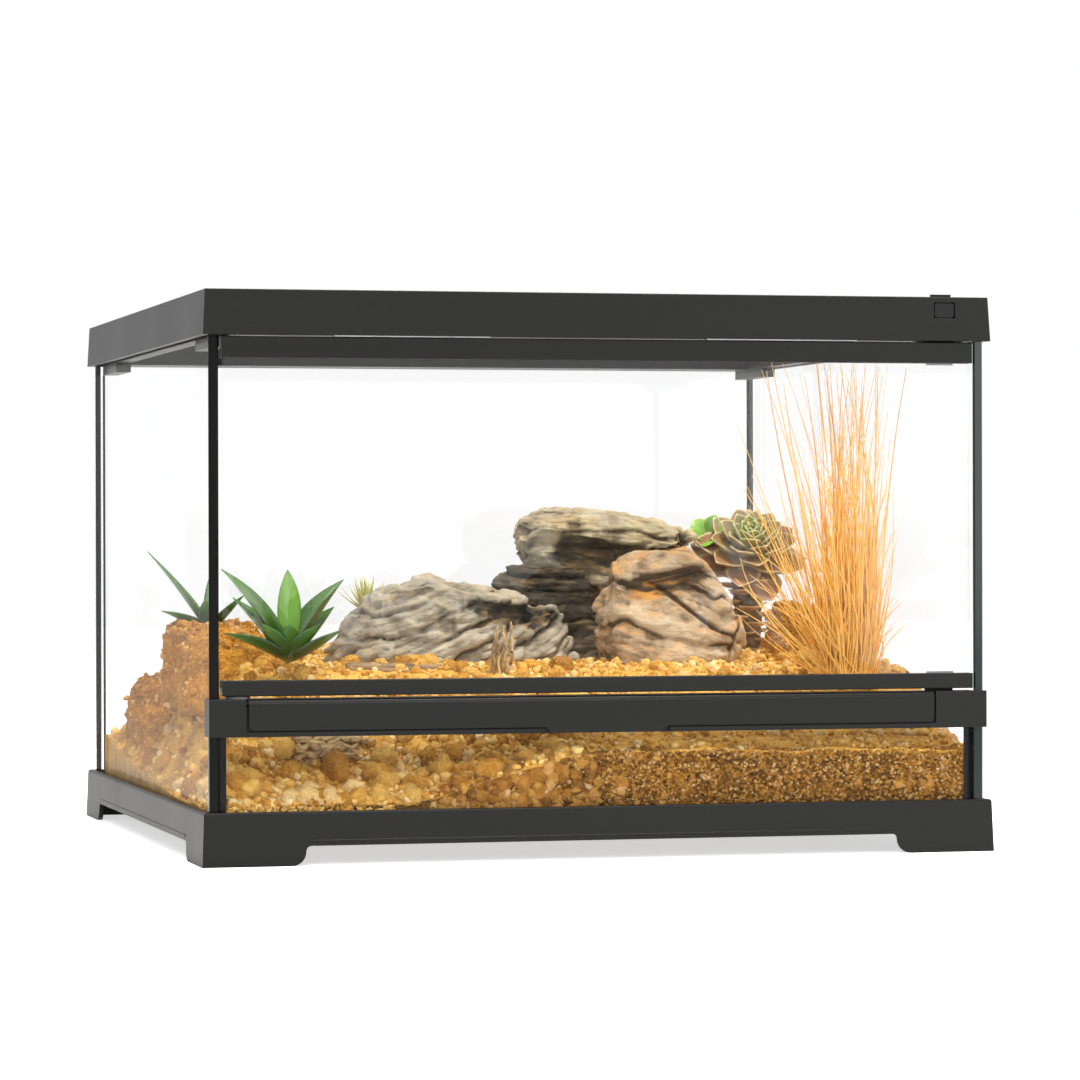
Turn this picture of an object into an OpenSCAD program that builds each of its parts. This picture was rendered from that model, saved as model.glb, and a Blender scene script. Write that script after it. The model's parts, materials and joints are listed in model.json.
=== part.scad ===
// Front-opening glass terrarium with a dry landscape, in millimetres.
// The origin is the middle of the base on the surface that it stands on: X to the right, Y to the back, Z up.

/* [Glass tank] */
// Outside width of the glass box
glass_w = 450; // [430:5:560]
// Outside depth of the glass box
glass_d = 450; // [430:5:560]
// Height of the side and back panes
glass_h = 300; // [290:5:450]
// Thickness of the fixed panes
glass_t = 5; // [4:0.5:6]
// Play between a pane and the plastic round it
glass_fit = 0.2; // [0.1:0.05:0.4]
// Ground bevel on the upright edges of a pane
arris = 0.6; // [0.3:0.1:1]
// Leg of the silicone bead in a corner
bead = 5; // [3:0.5:7]

/* [Base frame] */
// Height of the base frame
base_h = 30; // [26:1:40]
// How far the base stands out past the glass
base_out = 5; // [4.5:0.5:9]
// Draft of the base, from floor to top edge
base_draft = 1; // [0.5:0.1:2]
// Wall of the base skirt
base_wall = 3; // [2:0.5:4]
// Height of the shelf that the panes stand on
seat_z = 14; // [13:0.5:18]
// Thickness of that shelf
seat_t = 3; // [2:0.5:4]
// Width of the shelf under the floor pane
seat_w = 25; // [15:1:40]
// Length of a foot along each side
foot_l = 58; // [40:1:90]
// Radius of a foot's lower inner corner
foot_r = 8; // [4:0.5:8]

/* [Front bar] */
// Height of the bar's lower edge
bar_z = 71.4; // [60:0.2:90]
// Height of the bar
bar_h = 21; // [19:0.5:30]
// How far the bar's face stands out past the glass
bar_out = 4.2; // [3.9:0.1:5]
// How far the bar reaches behind the outer face of the glass
bar_in = 11; // [10:0.5:16]
// How deep the lower pane stands in the bar
bar_slot = 9; // [6:0.5:10]
// Cheek of the bar outside the side panes
bar_cheek = 1; // [0.8:0.1:2]
// Number of air slots in the bar
air_slots = 22; // [12:1:24]
// Width of an air slot
air_slot_w = 12; // [6:0.5:12]

/* [Vent flap] */
// Length of the flap on the bar
flap_w = 398; // [340:1:404]
// How far the middle of the flap lies left of the middle of the bar
flap_left = 5; // [0:0.5:6]
// Thickness of the flap
flap_t = 2.2; // [1.8:0.1:2.2]
// Length of the finger tab in the middle
tab_w = 65; // [30:1:120]
// Radius of the flap's hinge roll
roll_r = 1.8; // [1.6:0.1:1.9]

/* [Door] */
// Gap between the door and each side pane
door_side_gap = 1.6; // [1.5:0.1:2.5]
// Gap under the door
door_low_gap = 1.4; // [1.2:0.1:2]
// Gap over the door
door_top_gap = 0.8; // [0.8:0.1:1.5]
// Thickness of the door glass
door_glass_t = 4; // [3:0.5:4]
// Depth of the edge strips
strip_d = 8; // [7:0.5:8]
// Height of the top strip
top_strip_h = 11.9; // [10:0.1:16]
// Height of the bottom strip
low_strip_h = 8.7; // [8:0.1:12]
// Radius of a hinge pin
hinge_pin_r = 1.6; // [1.2:0.1:1.8]
// Distance of the hinge axis from the inside of the side pane
hinge_inset = 11; // [11:0.1:14]
// Running clearance of the pins, on the radius
pin_play = 0.05; // [0.03:0.01:0.08]

/* [Top frame] */
// Height of the top frame
rim_h = 25.2; // [23:0.2:34]
// Thickness of the cap over the glass
rim_cap = 4.4; // [4.4:0.2:8]
// How far the lower edge stands out past the glass
rim_out = 3.85; // [3.6:0.05:6]
// Draft of the frame, from lower edge to top
rim_draft = 1.25; // [0.5:0.05:1.5]
// Width of the side rails, from the outside of the glass
side_rail = 14.5; // [14:0.5:24]
// Width of the front rail, from the outside of the glass
front_rail = 29.5; // [29:0.5:40]
// Width of the rear rail, from the outside of the glass
rear_rail = 31.5; // [26:0.5:40]
// Width of the ledge under the lid
lid_ledge = 4.5; // [3:0.5:6]
// Length of a corner block under the rails
corner_l = 60; // [30:1:90]

/* [Screen lid] */
// Play round the lid
lid_gap = 0.6; // [0.4:0.1:1.2]
// Width of the lid's frame members
lid_bar = 14; // [12:0.5:24]
// Openings across the mesh
mesh_nx = 14; // [6:1:16]
// Openings along the mesh
mesh_ny = 13; // [6:1:16]
// Width of a mesh wire
wire = 1.2; // [0.8:0.1:2]
// Distance of each latch from the middle
latch_x = 120; // [60:1:140]
// Width of a latch
latch_w = 12; // [8:0.5:16]
// Travel of a latch
latch_travel = 5; // [4:0.5:5]

/* [Release button] */
// Width of the button
button_w = 11.6; // [9:0.1:12]
// Height of the button
button_h = 8.2; // [6:0.1:8.2]
// Gap round the button
button_gap = 0.5; // [0.3:0.05:0.6]
// Distance of the button from the outside of the right pane
button_in = 23.1; // [22:0.1:30]
// Travel of the button
button_travel = 2.5; // [1.5:0.1:2.5]
// Turns of the button's spring
spring_turns = 5; // [4:1:7]

/* [Cable inlets] */
// Distance of each inlet from the middle
inlet_x = 90; // [70:1:120]
// Width of an inlet
inlet_w = 38; // [24:1:40]
// Height of an inlet
inlet_h = 12; // [8:0.5:12]
// Thickness of a shutter
shutter_t = 1.2; // [1:0.1:1.3]

/* [Landscape] */
// Depth of the sand where the rocks stand
sand_deep = 84; // [70:1:90]
// Depth of the sand at the right half of the front pane
sand_front = 41; // [30:1:50]
// Depth of the sand at the left end of the front pane
sand_front_left = 13; // [6:1:30]
// Depth of the sand at the front of the left pane
sand_side = 10; // [6:1:30]
// How much deeper it is at the back of the left pane
sand_side_rise = 24; // [10:1:40]
// Distance over which the sand rises from the front pane
sand_run = 130; // [80:1:160]
// Distance over which it rises from the left pane
sand_side_run = 46; // [30:1:70]
// Depth of the seats in the sand under rocks and plants
seat_in = 12; // [6:1:20]
// Length of the long rock
long_rock_l = 172; // [140:1:180]
// Height of the long rock over its seat
long_rock_h = 66; // [50:1:74]
// Length of the upper boulder
upper_rock_l = 124; // [90:1:130]
// Height of the upper boulder
upper_rock_h = 51; // [36:1:60]
// Length of the lower boulder
lower_rock_l = 100; // [80:1:110]
// Height of the clay mound over its seat
mound_h = 32; // [24:1:38]

/* [Plants] */
// Length of the longest leaf of the front succulent
leaf_l = 62; // [40:1:70]
// Radius of the rosette
rosette_r = 38; // [28:1:42]
// Length of the rosette's stem
rosette_stem = 74; // [60:1:90]
// Height of the grass
grass_h = 184; // [120:1:190]
// Stalks in the grass bundle
grass_n = 42; // [30:1:70]

/* [Hidden] */

$fn = 48;
eps = 0.01;
far = 2000;

// Outside of the glass box, inside of the glass box and the levels that the other pieces share
hx = glass_w / 2;
hy = glass_d / 2;
ix = hx - glass_t;
iy = hy - glass_t;
floor_z = seat_z + glass_t;
glass_top = seat_z + glass_h;
top_z = glass_top + rim_cap;
lip_z = top_z - rim_h;
bar_top = bar_z + bar_h;

// Points of an arc, for outlines
function arc(c, r, a0, a1, n = 6) = [for (i = [0:n]) c + r * [cos(a0 + (a1 - a0) * i / n),
    sin(a0 + (a1 - a0) * i / n)]];

// A box between two corners
module block(a, b) {
    translate([min(a.x, b.x), min(a.y, b.y), min(a.z, b.z)])
        cube([abs(b.x - a.x), abs(b.y - a.y), abs(b.z - a.z)]);
}

// A round bar between two points on a line along X, Y or Z
module rod_x(r, x0, x1) { translate([x0, 0, 0]) rotate([0, 90, 0]) cylinder(r = r, h = x1 - x0); }
module rod_y(r, y0, y1) { translate([0, y0, 0]) rotate([-90, 0, 0]) cylinder(r = r, h = y1 - y0); }

// Outlines seen from the front (XZ) and from the right (YZ), drawn out along the other axis
module from_front(y0, y1) { translate([0, y1, 0]) rotate([90, 0, 0]) linear_extrude(height = y1 - y0)
    children(); }
module from_side(x0, x1) { translate([x0, 0, 0]) rotate([90, 0, 90]) linear_extrude(height = x1 - x0)
    children(); }

// A rectangular block with drafted sides, mitred corners and rounded top edges
module mitred_block(half_x, half_y, height, draft, r) {
    intersection() {
        from_front(-far / 2, far / 2) drafted_outline(half_x, height, draft, r);
        from_side(-far / 2, far / 2) drafted_outline(half_y, height, draft, r);
    }
}

module drafted_outline(half, height, draft, r) {
    polygon(concat([[-half, 0], [half, 0]], arc([half - draft - r, height - r], r, 0, 90, 4),
        arc([-half + draft + r, height - r], r, 90, 180, 4)));
}

// A pane seen from above, with ground edges
module pane(x0, y0, x1, y1, z0, z1) {
    a = arris;
    translate([0, 0, z0]) linear_extrude(height = z1 - z0)
        polygon([[x0 + a, y0], [x1 - a, y0], [x1, y0 + a], [x1, y1 - a],
            [x1 - a, y1], [x0 + a, y1], [x0, y1 - a], [x0, y0 + a]]);
}

// ---------------------------------------------------------------- Base frame

base_hx = hx + base_out;
base_hy = hy + base_out;
apron_z = seat_z - seat_t;
foot_fillet = 3;

// The gap between two feet, up to the apron
function foot_gap(half) = let (r = min(foot_r, apron_z - foot_fillet), x = half - foot_l) concat(
    [[-x - r, -1], [x + r, -1]], arc([x + r, r], r, 270, 180),
        arc([x - foot_fillet, apron_z - foot_fillet], foot_fillet, 0, 90),
    arc([-x + foot_fillet, apron_z - foot_fillet], foot_fillet, 90, 180), arc([-x - r, r], r, 0, -90));

module base_frame() {
    lip = 0.4;
    color([0.13, 0.13, 0.13]) union() {
        difference() {
            mitred_block(base_hx, base_hy, base_h, base_draft, 1.5);
            block([-hx - glass_fit, -hy - glass_fit, seat_z], [hx + glass_fit, hy + glass_fit, base_h + 1]);
            block([-hx + seat_w, -hy + seat_w, -1], [hx - seat_w, hy - seat_w, seat_z + 1]);
            block([-base_hx + base_wall, -base_hy + base_wall, -1],
                [base_hx - base_wall, base_hy - base_wall, apron_z]);
            from_front(-base_hy - 1, base_hy + 1) polygon(foot_gap(base_hx));
            from_side(-base_hx - 1, base_hx + 1) polygon(foot_gap(base_hy));
        }
        for (s = [-1, 1]) {
            block([-base_hx + foot_l + 4, s * (base_hy - 1), apron_z + 2],
                [base_hx - foot_l - 4, s * (base_hy - lip + 0.3), apron_z + 3.2]);
            block([s * (base_hx - 1), -base_hy + foot_l + 4, apron_z + 2],
                [s * (base_hx - lip + 0.3), base_hy - foot_l - 4, apron_z + 3.2]);
        }
    }
}

// ---------------------------------------------------------------- Fixed glass

pane_end = ix - glass_fit / 2;
slot_top = bar_z + bar_slot;
notch_z = lip_z + 3;

module floor_glass() {
    color([0.75, 0.85, 0.83, 0.4]) block([-pane_end, -iy + glass_fit / 2, seat_z],
        [pane_end, iy - glass_fit / 2, floor_z]);
}

module side_pane(s) {
    color([0.75, 0.85, 0.83, 0.4]) pane(s > 0 ? ix : -hx, -hy, s > 0 ? hx : -ix, hy, seat_z, glass_top);
}

module left_glass() { side_pane(-1); }
module right_glass() { side_pane(1); }

module back_glass() {
    color([0.75, 0.85, 0.83, 0.4]) difference() {
        pane(-pane_end, iy, pane_end, hy, seat_z, glass_top);
        for (s = [-1, 1])
            block([s * inlet_x - inlet_w / 2 - 3, iy - 1, notch_z], [s * inlet_x + inlet_w / 2 + 3,
                hy + 1, glass_top + 1]);
    }
}

module lower_front_glass() {
    color([0.75, 0.85, 0.83, 0.4]) pane(-pane_end, -hy, pane_end, -iy, seat_z, slot_top - glass_fit);
}

// A bead of silicone that fills an inner corner of the box
module corner_bead(sx, sy, z0, z1) {
    translate([sx * ix, sy * iy, z0]) linear_extrude(height = z1 - z0)
        polygon([[0, 0], [-sx * bead, 0], [-sx * bead * 0.35, -sy * bead * 0.35], [0, -sy * bead]]);
}

module rear_silicone() { color([0.05, 0.05, 0.05]) for (s = [-1, 1])
    corner_bead(s, 1, floor_z, lip_z - corner_drop); }
module front_silicone() { color([0.05, 0.05, 0.05]) for (s = [-1, 1]) corner_bead(s, -1, floor_z, bar_z); }

// ---------------------------------------------------------------- Front bar and vent flap

bar_hx = hx + bar_cheek;
bar_y0 = -hy - bar_out;
bar_y1 = -hy + bar_in;
bar_wall = 2.5;
flap_y0 = -hy - base_out;
flap_y1 = flap_y0 + flap_t;
recess_y = flap_y1 + 0.4;
flap_x0 = -flap_left - flap_w / 2;
flap_x1 = -flap_left + flap_w / 2;
flap_end_gap = 1.2;
flap_low = bar_z + 3.4;
flap_high = bar_top - 0.7;
roll_y = flap_y0 + roll_r + 0.4;
roll_z = flap_high - roll_r;
stub_r = 0.7;
duct_y0 = recess_y + bar_wall;
duct_y1 = bar_y1 - bar_wall;
duct_z0 = slot_top + bar_wall;
duct_z1 = bar_top - bar_wall;
duct_hx = hx - 35;
door_z0 = bar_top + door_low_gap;
hinge_x = -ix + hinge_inset;
hinge_y = -hy + 3;
bar_bore = 6;
washer_r = 7;

// Places of the air slots along the bar, between the ends of the duct
function air_slot_x(i) = -duct_hx + air_slot_w + (2 * duct_hx - 2 * air_slot_w) * i / (air_slots - 1);

module front_bar() {
    color([0.15, 0.15, 0.15]) difference() {
        union() {
            from_side(-bar_hx, bar_hx) polygon(concat([[bar_y0, bar_z], [bar_y1, bar_z], [bar_y1, bar_top]],
                arc([bar_y0 + 0.8, bar_top - 0.8], 0.8, 90, 180, 3)));
            // Stop behind the door's lower edge, which holds the magnet
            block([catch_x - catch_w / 2, catch_y0, bar_top - eps], [catch_x + catch_w / 2, bar_y1,
                door_z0 + low_strip_h - 1.5]);
        }
        // Slots for the side panes and the lower front pane
        for (s = [-1, 1])
            block([s * (ix - glass_fit), -hy - glass_fit, bar_z - 1],
                [s * (hx + glass_fit), 0, door_z0 + 20]);
        block([-ix - 1, -hy - glass_fit, bar_z - 1], [ix + 1, -iy + glass_fit, slot_top]);
        // Recess of the flap, with a rounded channel for its roll
        block([flap_x0 - flap_end_gap, -far, flap_low - 0.6], [flap_x1 + flap_end_gap, recess_y,
            bar_top + 1]);
        block([-tab_w / 2 - 4, -far, bar_z - 1], [tab_w / 2 + 4, recess_y, flap_low]);
        translate([0, roll_y, roll_z]) rod_x(roll_r + 0.3, flap_x0 - flap_end_gap, flap_x1 + flap_end_gap);
        translate([0, roll_y, roll_z]) rod_x(stub_r + pin_play, flap_x0 - 4.4, flap_x1 + 4.4);
        // Air duct, with slots in the front and back walls
        block([-duct_hx, duct_y0, duct_z0], [duct_hx, duct_y1, duct_z1]);
        for (i = [0:air_slots - 1]) {
            block([air_slot_x(i) - air_slot_w / 2, recess_y - 1, duct_z0 + 0.6],
                [air_slot_x(i) + air_slot_w / 2, duct_y0 + 1, roll_z - roll_r - 1]);
            block([air_slot_x(i) - air_slot_w / 2, duct_y1 - 1, duct_z0 + 1],
                [air_slot_x(i) + air_slot_w / 2, bar_y1 + 1, duct_z1 - 1]);
        }
        // Bore for the door's lower pin and pocket for the magnet
        translate([hinge_x, hinge_y, bar_top - bar_bore]) cylinder(r = hinge_pin_r + pin_play,
            h = bar_bore + 1);
        block([catch_x - catch_w / 2 + 1.5, catch_y0 - 1, door_z0 + 0.2],
            [catch_x + catch_w / 2 - 1.5, catch_y0 + 2, door_z0 + low_strip_h - 2.5]);
    }
}

module lower_magnet() {
    color([0.5, 0.5, 0.52]) block([catch_x - catch_w / 2 + 1.5, catch_y0, door_z0 + 0.2],
        [catch_x + catch_w / 2 - 1.5, catch_y0 + 2, door_z0 + low_strip_h - 2.5]);
}

module hinge_washer() {
    color([0.2, 0.2, 0.2]) translate([hinge_x, hinge_y, bar_top]) difference() {
        cylinder(r = washer_r, h = door_low_gap - 0.2);
        translate([0, 0, -1]) cylinder(r = hinge_pin_r + pin_play, h = door_low_gap + 2);
    }
}

// Perforated metal strip in the duct, against its back wall
module vent_screen() {
    screen_t = 0.6;
    hole_w = 6;
    count = floor(2 * (duct_hx - hole_w) / (hole_w + 3));
    color([0.6, 0.6, 0.6]) difference() {
        block([-duct_hx, duct_y1 - screen_t, duct_z0], [duct_hx, duct_y1, duct_z1]);
        for (i = [0:count - 1])
            translate([(i - (count - 1) / 2) * (hole_w + 3), 0, 0])
                block([-hole_w / 2, duct_y1 - 2, duct_z0 + 1.5], [hole_w / 2, duct_y1 + 1, duct_z1 - 1.5]);
    }
}

module vent_flap() {
    r = 3.5;
    t = tab_w / 2;
    slope = 3;
    color([0.12, 0.12, 0.12]) union() {
        from_front(flap_y0, flap_y1) polygon(concat(
            arc([flap_x0 + r, flap_low + r], r, 180, 270), [[-t - slope, flap_low], [-t, bar_z + 0.3],
                [t, bar_z + 0.3], [t + slope, flap_low]],
            arc([flap_x1 - r, flap_low + r], r, 270, 360), [[flap_x1, roll_z], [flap_x0, roll_z]]));
        translate([0, roll_y, roll_z]) rod_x(roll_r, flap_x0, flap_x1);
        translate([0, roll_y, roll_z]) rod_x(stub_r, flap_x0 - 4, flap_x1 + 4);
    }
}

// ---------------------------------------------------------------- Door

door_hx = ix - door_side_gap;
door_z1 = lip_z - door_top_gap;
strip_y1 = -hy + 6;
strip_y0 = strip_y1 - strip_d;
door_glass_y0 = -hy;
glass_in_strip = 4.2;
door_glass_z0 = door_z0 + low_strip_h - glass_in_strip;
door_glass_z1 = door_z1 - top_strip_h + 5.5;
pin_in_strip = 3.8;
catch_w = 16;
catch_x = hx - button_in - 0.5;
striker_t = 1;
catch_y0 = strip_y1 + striker_t + 0.3;

module door_strip(z0, z1, groove_z0, groove_z1) {
    difference() {
        from_side(-door_hx, door_hx) polygon([[strip_y0, z0 + 0.4], [strip_y0 + 0.4, z0], [strip_y1, z0],
            [strip_y1, z1], [strip_y0 + 0.4, z1], [strip_y0, z1 - 0.4]]);
        block([-far, door_glass_y0, groove_z0], [far, door_glass_y0 + door_glass_t, groove_z1]);
    }
}

module door_glass() {
    color([0.78, 0.87, 0.85, 0.35]) pane(-door_hx + 1, door_glass_y0, door_hx - 1,
        door_glass_y0 + door_glass_t, door_glass_z0, door_glass_z1);
}

module door_top_strip() {
    z0 = door_z1 - top_strip_h;
    color([0.15, 0.15, 0.15]) difference() {
        door_strip(z0, door_z1, z0 - 1, door_glass_z1);
        translate([hinge_x, hinge_y, door_z1 - pin_in_strip]) cylinder(r = hinge_pin_r, h = pin_in_strip + 1);
    }
}

module door_bottom_strip() {
    z1 = door_z0 + low_strip_h;
    r = 2.5;
    color([0.15, 0.15, 0.15]) difference() {
        door_strip(door_z0, z1, door_glass_z0, z1 + 1);
        translate([hinge_x, hinge_y, door_z0 - 1]) cylinder(r = hinge_pin_r, h = pin_in_strip + 1);
        // Rounded lower corner at the hinge side
        from_front(-far, 0) polygon(concat([[-door_hx - 1, door_z0 - 1], [-door_hx + r, door_z0 - 1]],
            arc([-door_hx + r, door_z0 + r], r, 270, 180), [[-door_hx - 1, door_z0 + r]]));
    }
}

module upper_hinge_pin() {
    color([0.7, 0.7, 0.72]) translate([hinge_x, hinge_y, door_z1 - pin_in_strip])
        cylinder(r = hinge_pin_r, h = pin_in_strip + door_top_gap + bar_bore);
}

module lower_hinge_pin() {
    depth = bar_bore - 0.4;
    color([0.7, 0.7, 0.72]) translate([hinge_x, hinge_y, bar_top - depth])
        cylinder(r = hinge_pin_r, h = depth + door_low_gap + pin_in_strip);
}

module striker(z0, z1) {
    color([0.62, 0.62, 0.64]) block([catch_x - catch_w / 2, strip_y1, z0],
        [catch_x + catch_w / 2, strip_y1 + striker_t, z1]);
}

module upper_striker() { striker(door_z1 - top_strip_h - 1, door_z1 - 0.6); }
module lower_striker() { striker(door_z0 + 0.2, door_z0 + low_strip_h + 1); }

// ---------------------------------------------------------------- Top frame

corner_drop = 6;
lid_seat_z = glass_top;
opening_hx = hx - side_rail;
opening_y0 = -hy + front_rail;
opening_y1 = hy - rear_rail;
pocket_hx = opening_hx + lid_ledge;
pocket_y0 = opening_y0 - lid_ledge;
pocket_y1 = opening_y1 + lid_ledge;
button_x = catch_x;
button_z = lip_z + 17.5;
well_w = 15;
well_y0 = -hy;
well_y1 = -hy + 19;
well_y_low = catch_y0 + 0.8;
well_z0 = lip_z - 9.2;
well_z1 = button_z + 5.6;
cover_t = 1.5;
spring_bore_r = 3.6;
spring_y1 = -hy + 23;
tab_z = top_z + 1.7;
lid_pin_r = 1.5;
lid_roll_r = 1.9;
lid_axis_y = pocket_y1 - lid_gap / 2 - lid_roll_r;
lid_axis_z = lid_seat_z + 0.1 + lid_roll_r;
inlet_z = lip_z + 11;
latch_z0 = lid_seat_z + 1.4;
latch_t = 1.5;
latch_l = 9.8;
grip_from = 5.8;
grip_step = 1.2;
keeper_t = 1.2;
keeper_lap = 3.5;
keeper_y0 = pocket_y0 - latch_travel + 0.5;
ledge_end = 24;
ledge_hx = latch_x + latch_w / 2 + ledge_end;
shutter_y = hy + glass_fit + 0.9;
shutter_h = inlet_h + 3;
shutter_w = inlet_w + 4;
shutter_play = 0.1;
pad_z = lip_z - (door_top_gap - 0.2);

// The plastic round the panes, over the tank
module rails() {
    translate([0, 0, lip_z]) mitred_block(hx + rim_out, hy + rim_out, rim_h, rim_draft, 0.5);
    for (s = [-1, 1], t = [-1, 1])
        block([s * opening_hx, t > 0 ? iy - glass_fit : -hy + 17, lip_z - corner_drop],
            [s * (ix - glass_fit), t > 0 ? iy - corner_l : -hy + 17 + corner_l, lip_z + 1]);
    // Housing of the magnet, which is also the door's stop
    block([button_x - well_w / 2 - 2.2, catch_y0, well_z0 - cover_t],
        [button_x + well_w / 2 + 2.2, well_y1 + 2.5, lip_z + 1]);
}

module top_frame() {
    color([0.15, 0.15, 0.15]) difference() {
        rails();
        // Hand opening, with a ledge for the lid
        block([-opening_hx, opening_y0, lip_z - corner_drop - 1], [opening_hx, opening_y1, top_z + 1]);
        block([-pocket_hx, pocket_y0, lid_seat_z], [pocket_hx, pocket_y1, top_z + 1]);
        // Grooves for the upper edges of the panes
        for (s = [-1, 1])
            block([s * (ix - glass_fit), -hy - glass_fit, lip_z - 1],
                [s * (hx + glass_fit), hy + glass_fit, glass_top + glass_fit]);
        block([-hx, iy - glass_fit, lip_z - 1], [hx, hy + glass_fit, glass_top + glass_fit]);
        // Bore for the door's upper pin
        translate([hinge_x, hinge_y, lip_z - 1]) cylinder(r = hinge_pin_r + pin_play, h = bar_bore + 1.4);
        // Well of the release button, its window, its spring and the slot of its thumb tab
        block([button_x - well_w / 2, well_y0, lip_z], [button_x + well_w / 2, well_y1, well_z1]);
        block([button_x - well_w / 2, well_y_low, well_z0 - cover_t - 1], [button_x + well_w / 2, well_y1,
            lip_z + 1]);
        block([button_x - button_w / 2 - button_gap, -far, button_z - button_h / 2 - button_gap],
            [button_x + button_w / 2 + button_gap, well_y0 + 1, button_z + button_h / 2 + button_gap]);
        translate([button_x, 0, button_z]) rod_y(spring_bore_r, well_y1 - 1, spring_y1);
        block([button_x - button_w / 2 - button_gap, thumb_y0 - 0.3, well_z1 - 1],
            [button_x + button_w / 2 + button_gap, thumb_y0 + thumb_t + button_travel + 0.5, top_z + 1]);
        // Bores for the lid's hinge pins
        translate([0, lid_axis_y, lid_axis_z]) rod_x(lid_pin_r + pin_play, -pocket_hx - 4, pocket_hx + 4);
        // Room for the latches in front of the lid, and the seat of the strip that covers it
        block([-pocket_hx, keeper_y0, lid_seat_z], [pocket_hx, pocket_y0 + 1, top_z + 1]);
        block([-pocket_hx, keeper_y0 - keeper_lap, top_z - keeper_t], [pocket_hx, pocket_y0 + 1, top_z + 1]);
        // Place of the bar behind the front rim
        block([-ledge_hx, keeper_y0, lip_z - 1], [ledge_hx, opening_y0 + 1, lid_seat_z + 1]);
        for (s = [-1, 1])
            inlet_cut(s);
    }
}

// Bar behind the front rim, on which the front edge of the lid rests
module front_ledge() {
    color([0.15, 0.15, 0.15])
        block([-ledge_hx, keeper_y0, lip_z], [ledge_hx, opening_y0, lid_seat_z]);
}

// Strip over the room in front of the lid, under which the lid's latches catch
module lid_keeper() {
    color([0.15, 0.15, 0.15])
        block([-pocket_hx + 0.2, keeper_y0 - keeper_lap + 0.1, top_z - keeper_t],
            [pocket_hx - 0.2, pocket_y0 + 0.2, top_z]);
}

// Tunnel of one cable inlet and the guides of its shutter, which slides to the middle
module inlet_cut(s) {
    x0 = s * inlet_x - inlet_w / 2;
    run = inlet_w + 2;
    block([x0, opening_y1 - 1, inlet_z - inlet_h / 2], [x0 + inlet_w, shutter_y + 1, inlet_z + inlet_h / 2]);
    block([x0 - (s > 0 ? run : 0), shutter_y + shutter_t, inlet_z - inlet_h / 2],
        [x0 + inlet_w + (s > 0 ? 0 : run), hy + rim_out + 1, inlet_z + inlet_h / 2]);
    block([x0 - 2.2 - (s > 0 ? run : 0), shutter_y - shutter_play, inlet_z - shutter_h / 2 - shutter_play],
        [x0 + inlet_w + 2.2 + (s > 0 ? 0 : run), shutter_y + shutter_t + shutter_play,
            inlet_z + shutter_h / 2 + shutter_play]);
}

module inlet_shutter(s) {
    x = s * (inlet_x + inlet_w / 2 - 5);
    color([0.16, 0.16, 0.16]) union() {
        block([s * inlet_x - shutter_w / 2, shutter_y, inlet_z - shutter_h / 2],
            [s * inlet_x + shutter_w / 2, shutter_y + shutter_t, inlet_z + shutter_h / 2]);
        for (i = [-1:1])
            block([x + 2.5 * i - 0.6, shutter_y + shutter_t - eps, inlet_z - inlet_h / 2 + 2],
                [x + 2.5 * i + 0.6, hy + rim_out - rim_draft, inlet_z + inlet_h / 2 - 2]);
    }
}

module left_inlet_shutter() { inlet_shutter(-1); }
module right_inlet_shutter() { inlet_shutter(1); }

// Pale strips over the door, which keep it from rattling
pad_l = 89;
pad_left_in = 70;
pad_right_in = 76;

module door_pads() {
    color([0.93, 0.93, 0.9]) for (x = [-hx + pad_left_in, hx - pad_right_in - pad_l])
        block([x, strip_y0 + 0.8, pad_z], [x + pad_l, strip_y0 + 5, lip_z]);
}

// ---------------------------------------------------------------- Release button

thumb_t = 3;
thumb_y0 = -hy + 3;
button_face = -hy - 2.6;
flange_y = well_y0 + 0.2;
arm_y0 = well_y_low + 3.4;
arm_t = 3;
magnet_h = 7;

module release_button() {
    color([0.17, 0.17, 0.17]) union() {
        from_front(button_face, flange_y + eps) translate([button_x, button_z])
            rounded_plate(button_w, button_h, 1.6);
        block([button_x - well_w / 2 + 0.4, flange_y, button_z - button_h / 2 - 1.4],
            [button_x + well_w / 2 - 0.4, flange_y + 2, well_z1 - 0.3]);
        block([button_x - button_w / 2, thumb_y0, well_z1 - 3],
            [button_x + button_w / 2, thumb_y0 + thumb_t, tab_z]);
        block([button_x - 3, flange_y + 1, button_z - 4], [button_x + 3, arm_y0 + 1, button_z + 4]);
        block([button_x - 3, arm_y0, well_z0 + 0.6], [button_x + 3, arm_y0 + arm_t, button_z + 4]);
        block([button_x - 5.5, flange_y + 1, button_z + 1], [button_x + 5.5, thumb_y0 + 1, well_z1 - 0.3]);
    }
}

// A flat outline with rounded corners
module rounded_plate(w, h, r) {
    polygon(concat(arc([w / 2 - r, h / 2 - r], r, 0, 90, 4), arc([-w / 2 + r, h / 2 - r], r, 90, 180, 4),
        arc([-w / 2 + r, -h / 2 + r], r, 180, 270, 4), arc([w / 2 - r, -h / 2 + r], r, 270, 360, 4)));
}

module button_magnet() {
    color([0.5, 0.5, 0.52]) block([button_x - 6, well_y_low + 0.3, well_z0 + 0.6],
        [button_x + 6, arm_y0, well_z0 + 0.6 + magnet_h]);
}

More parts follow.
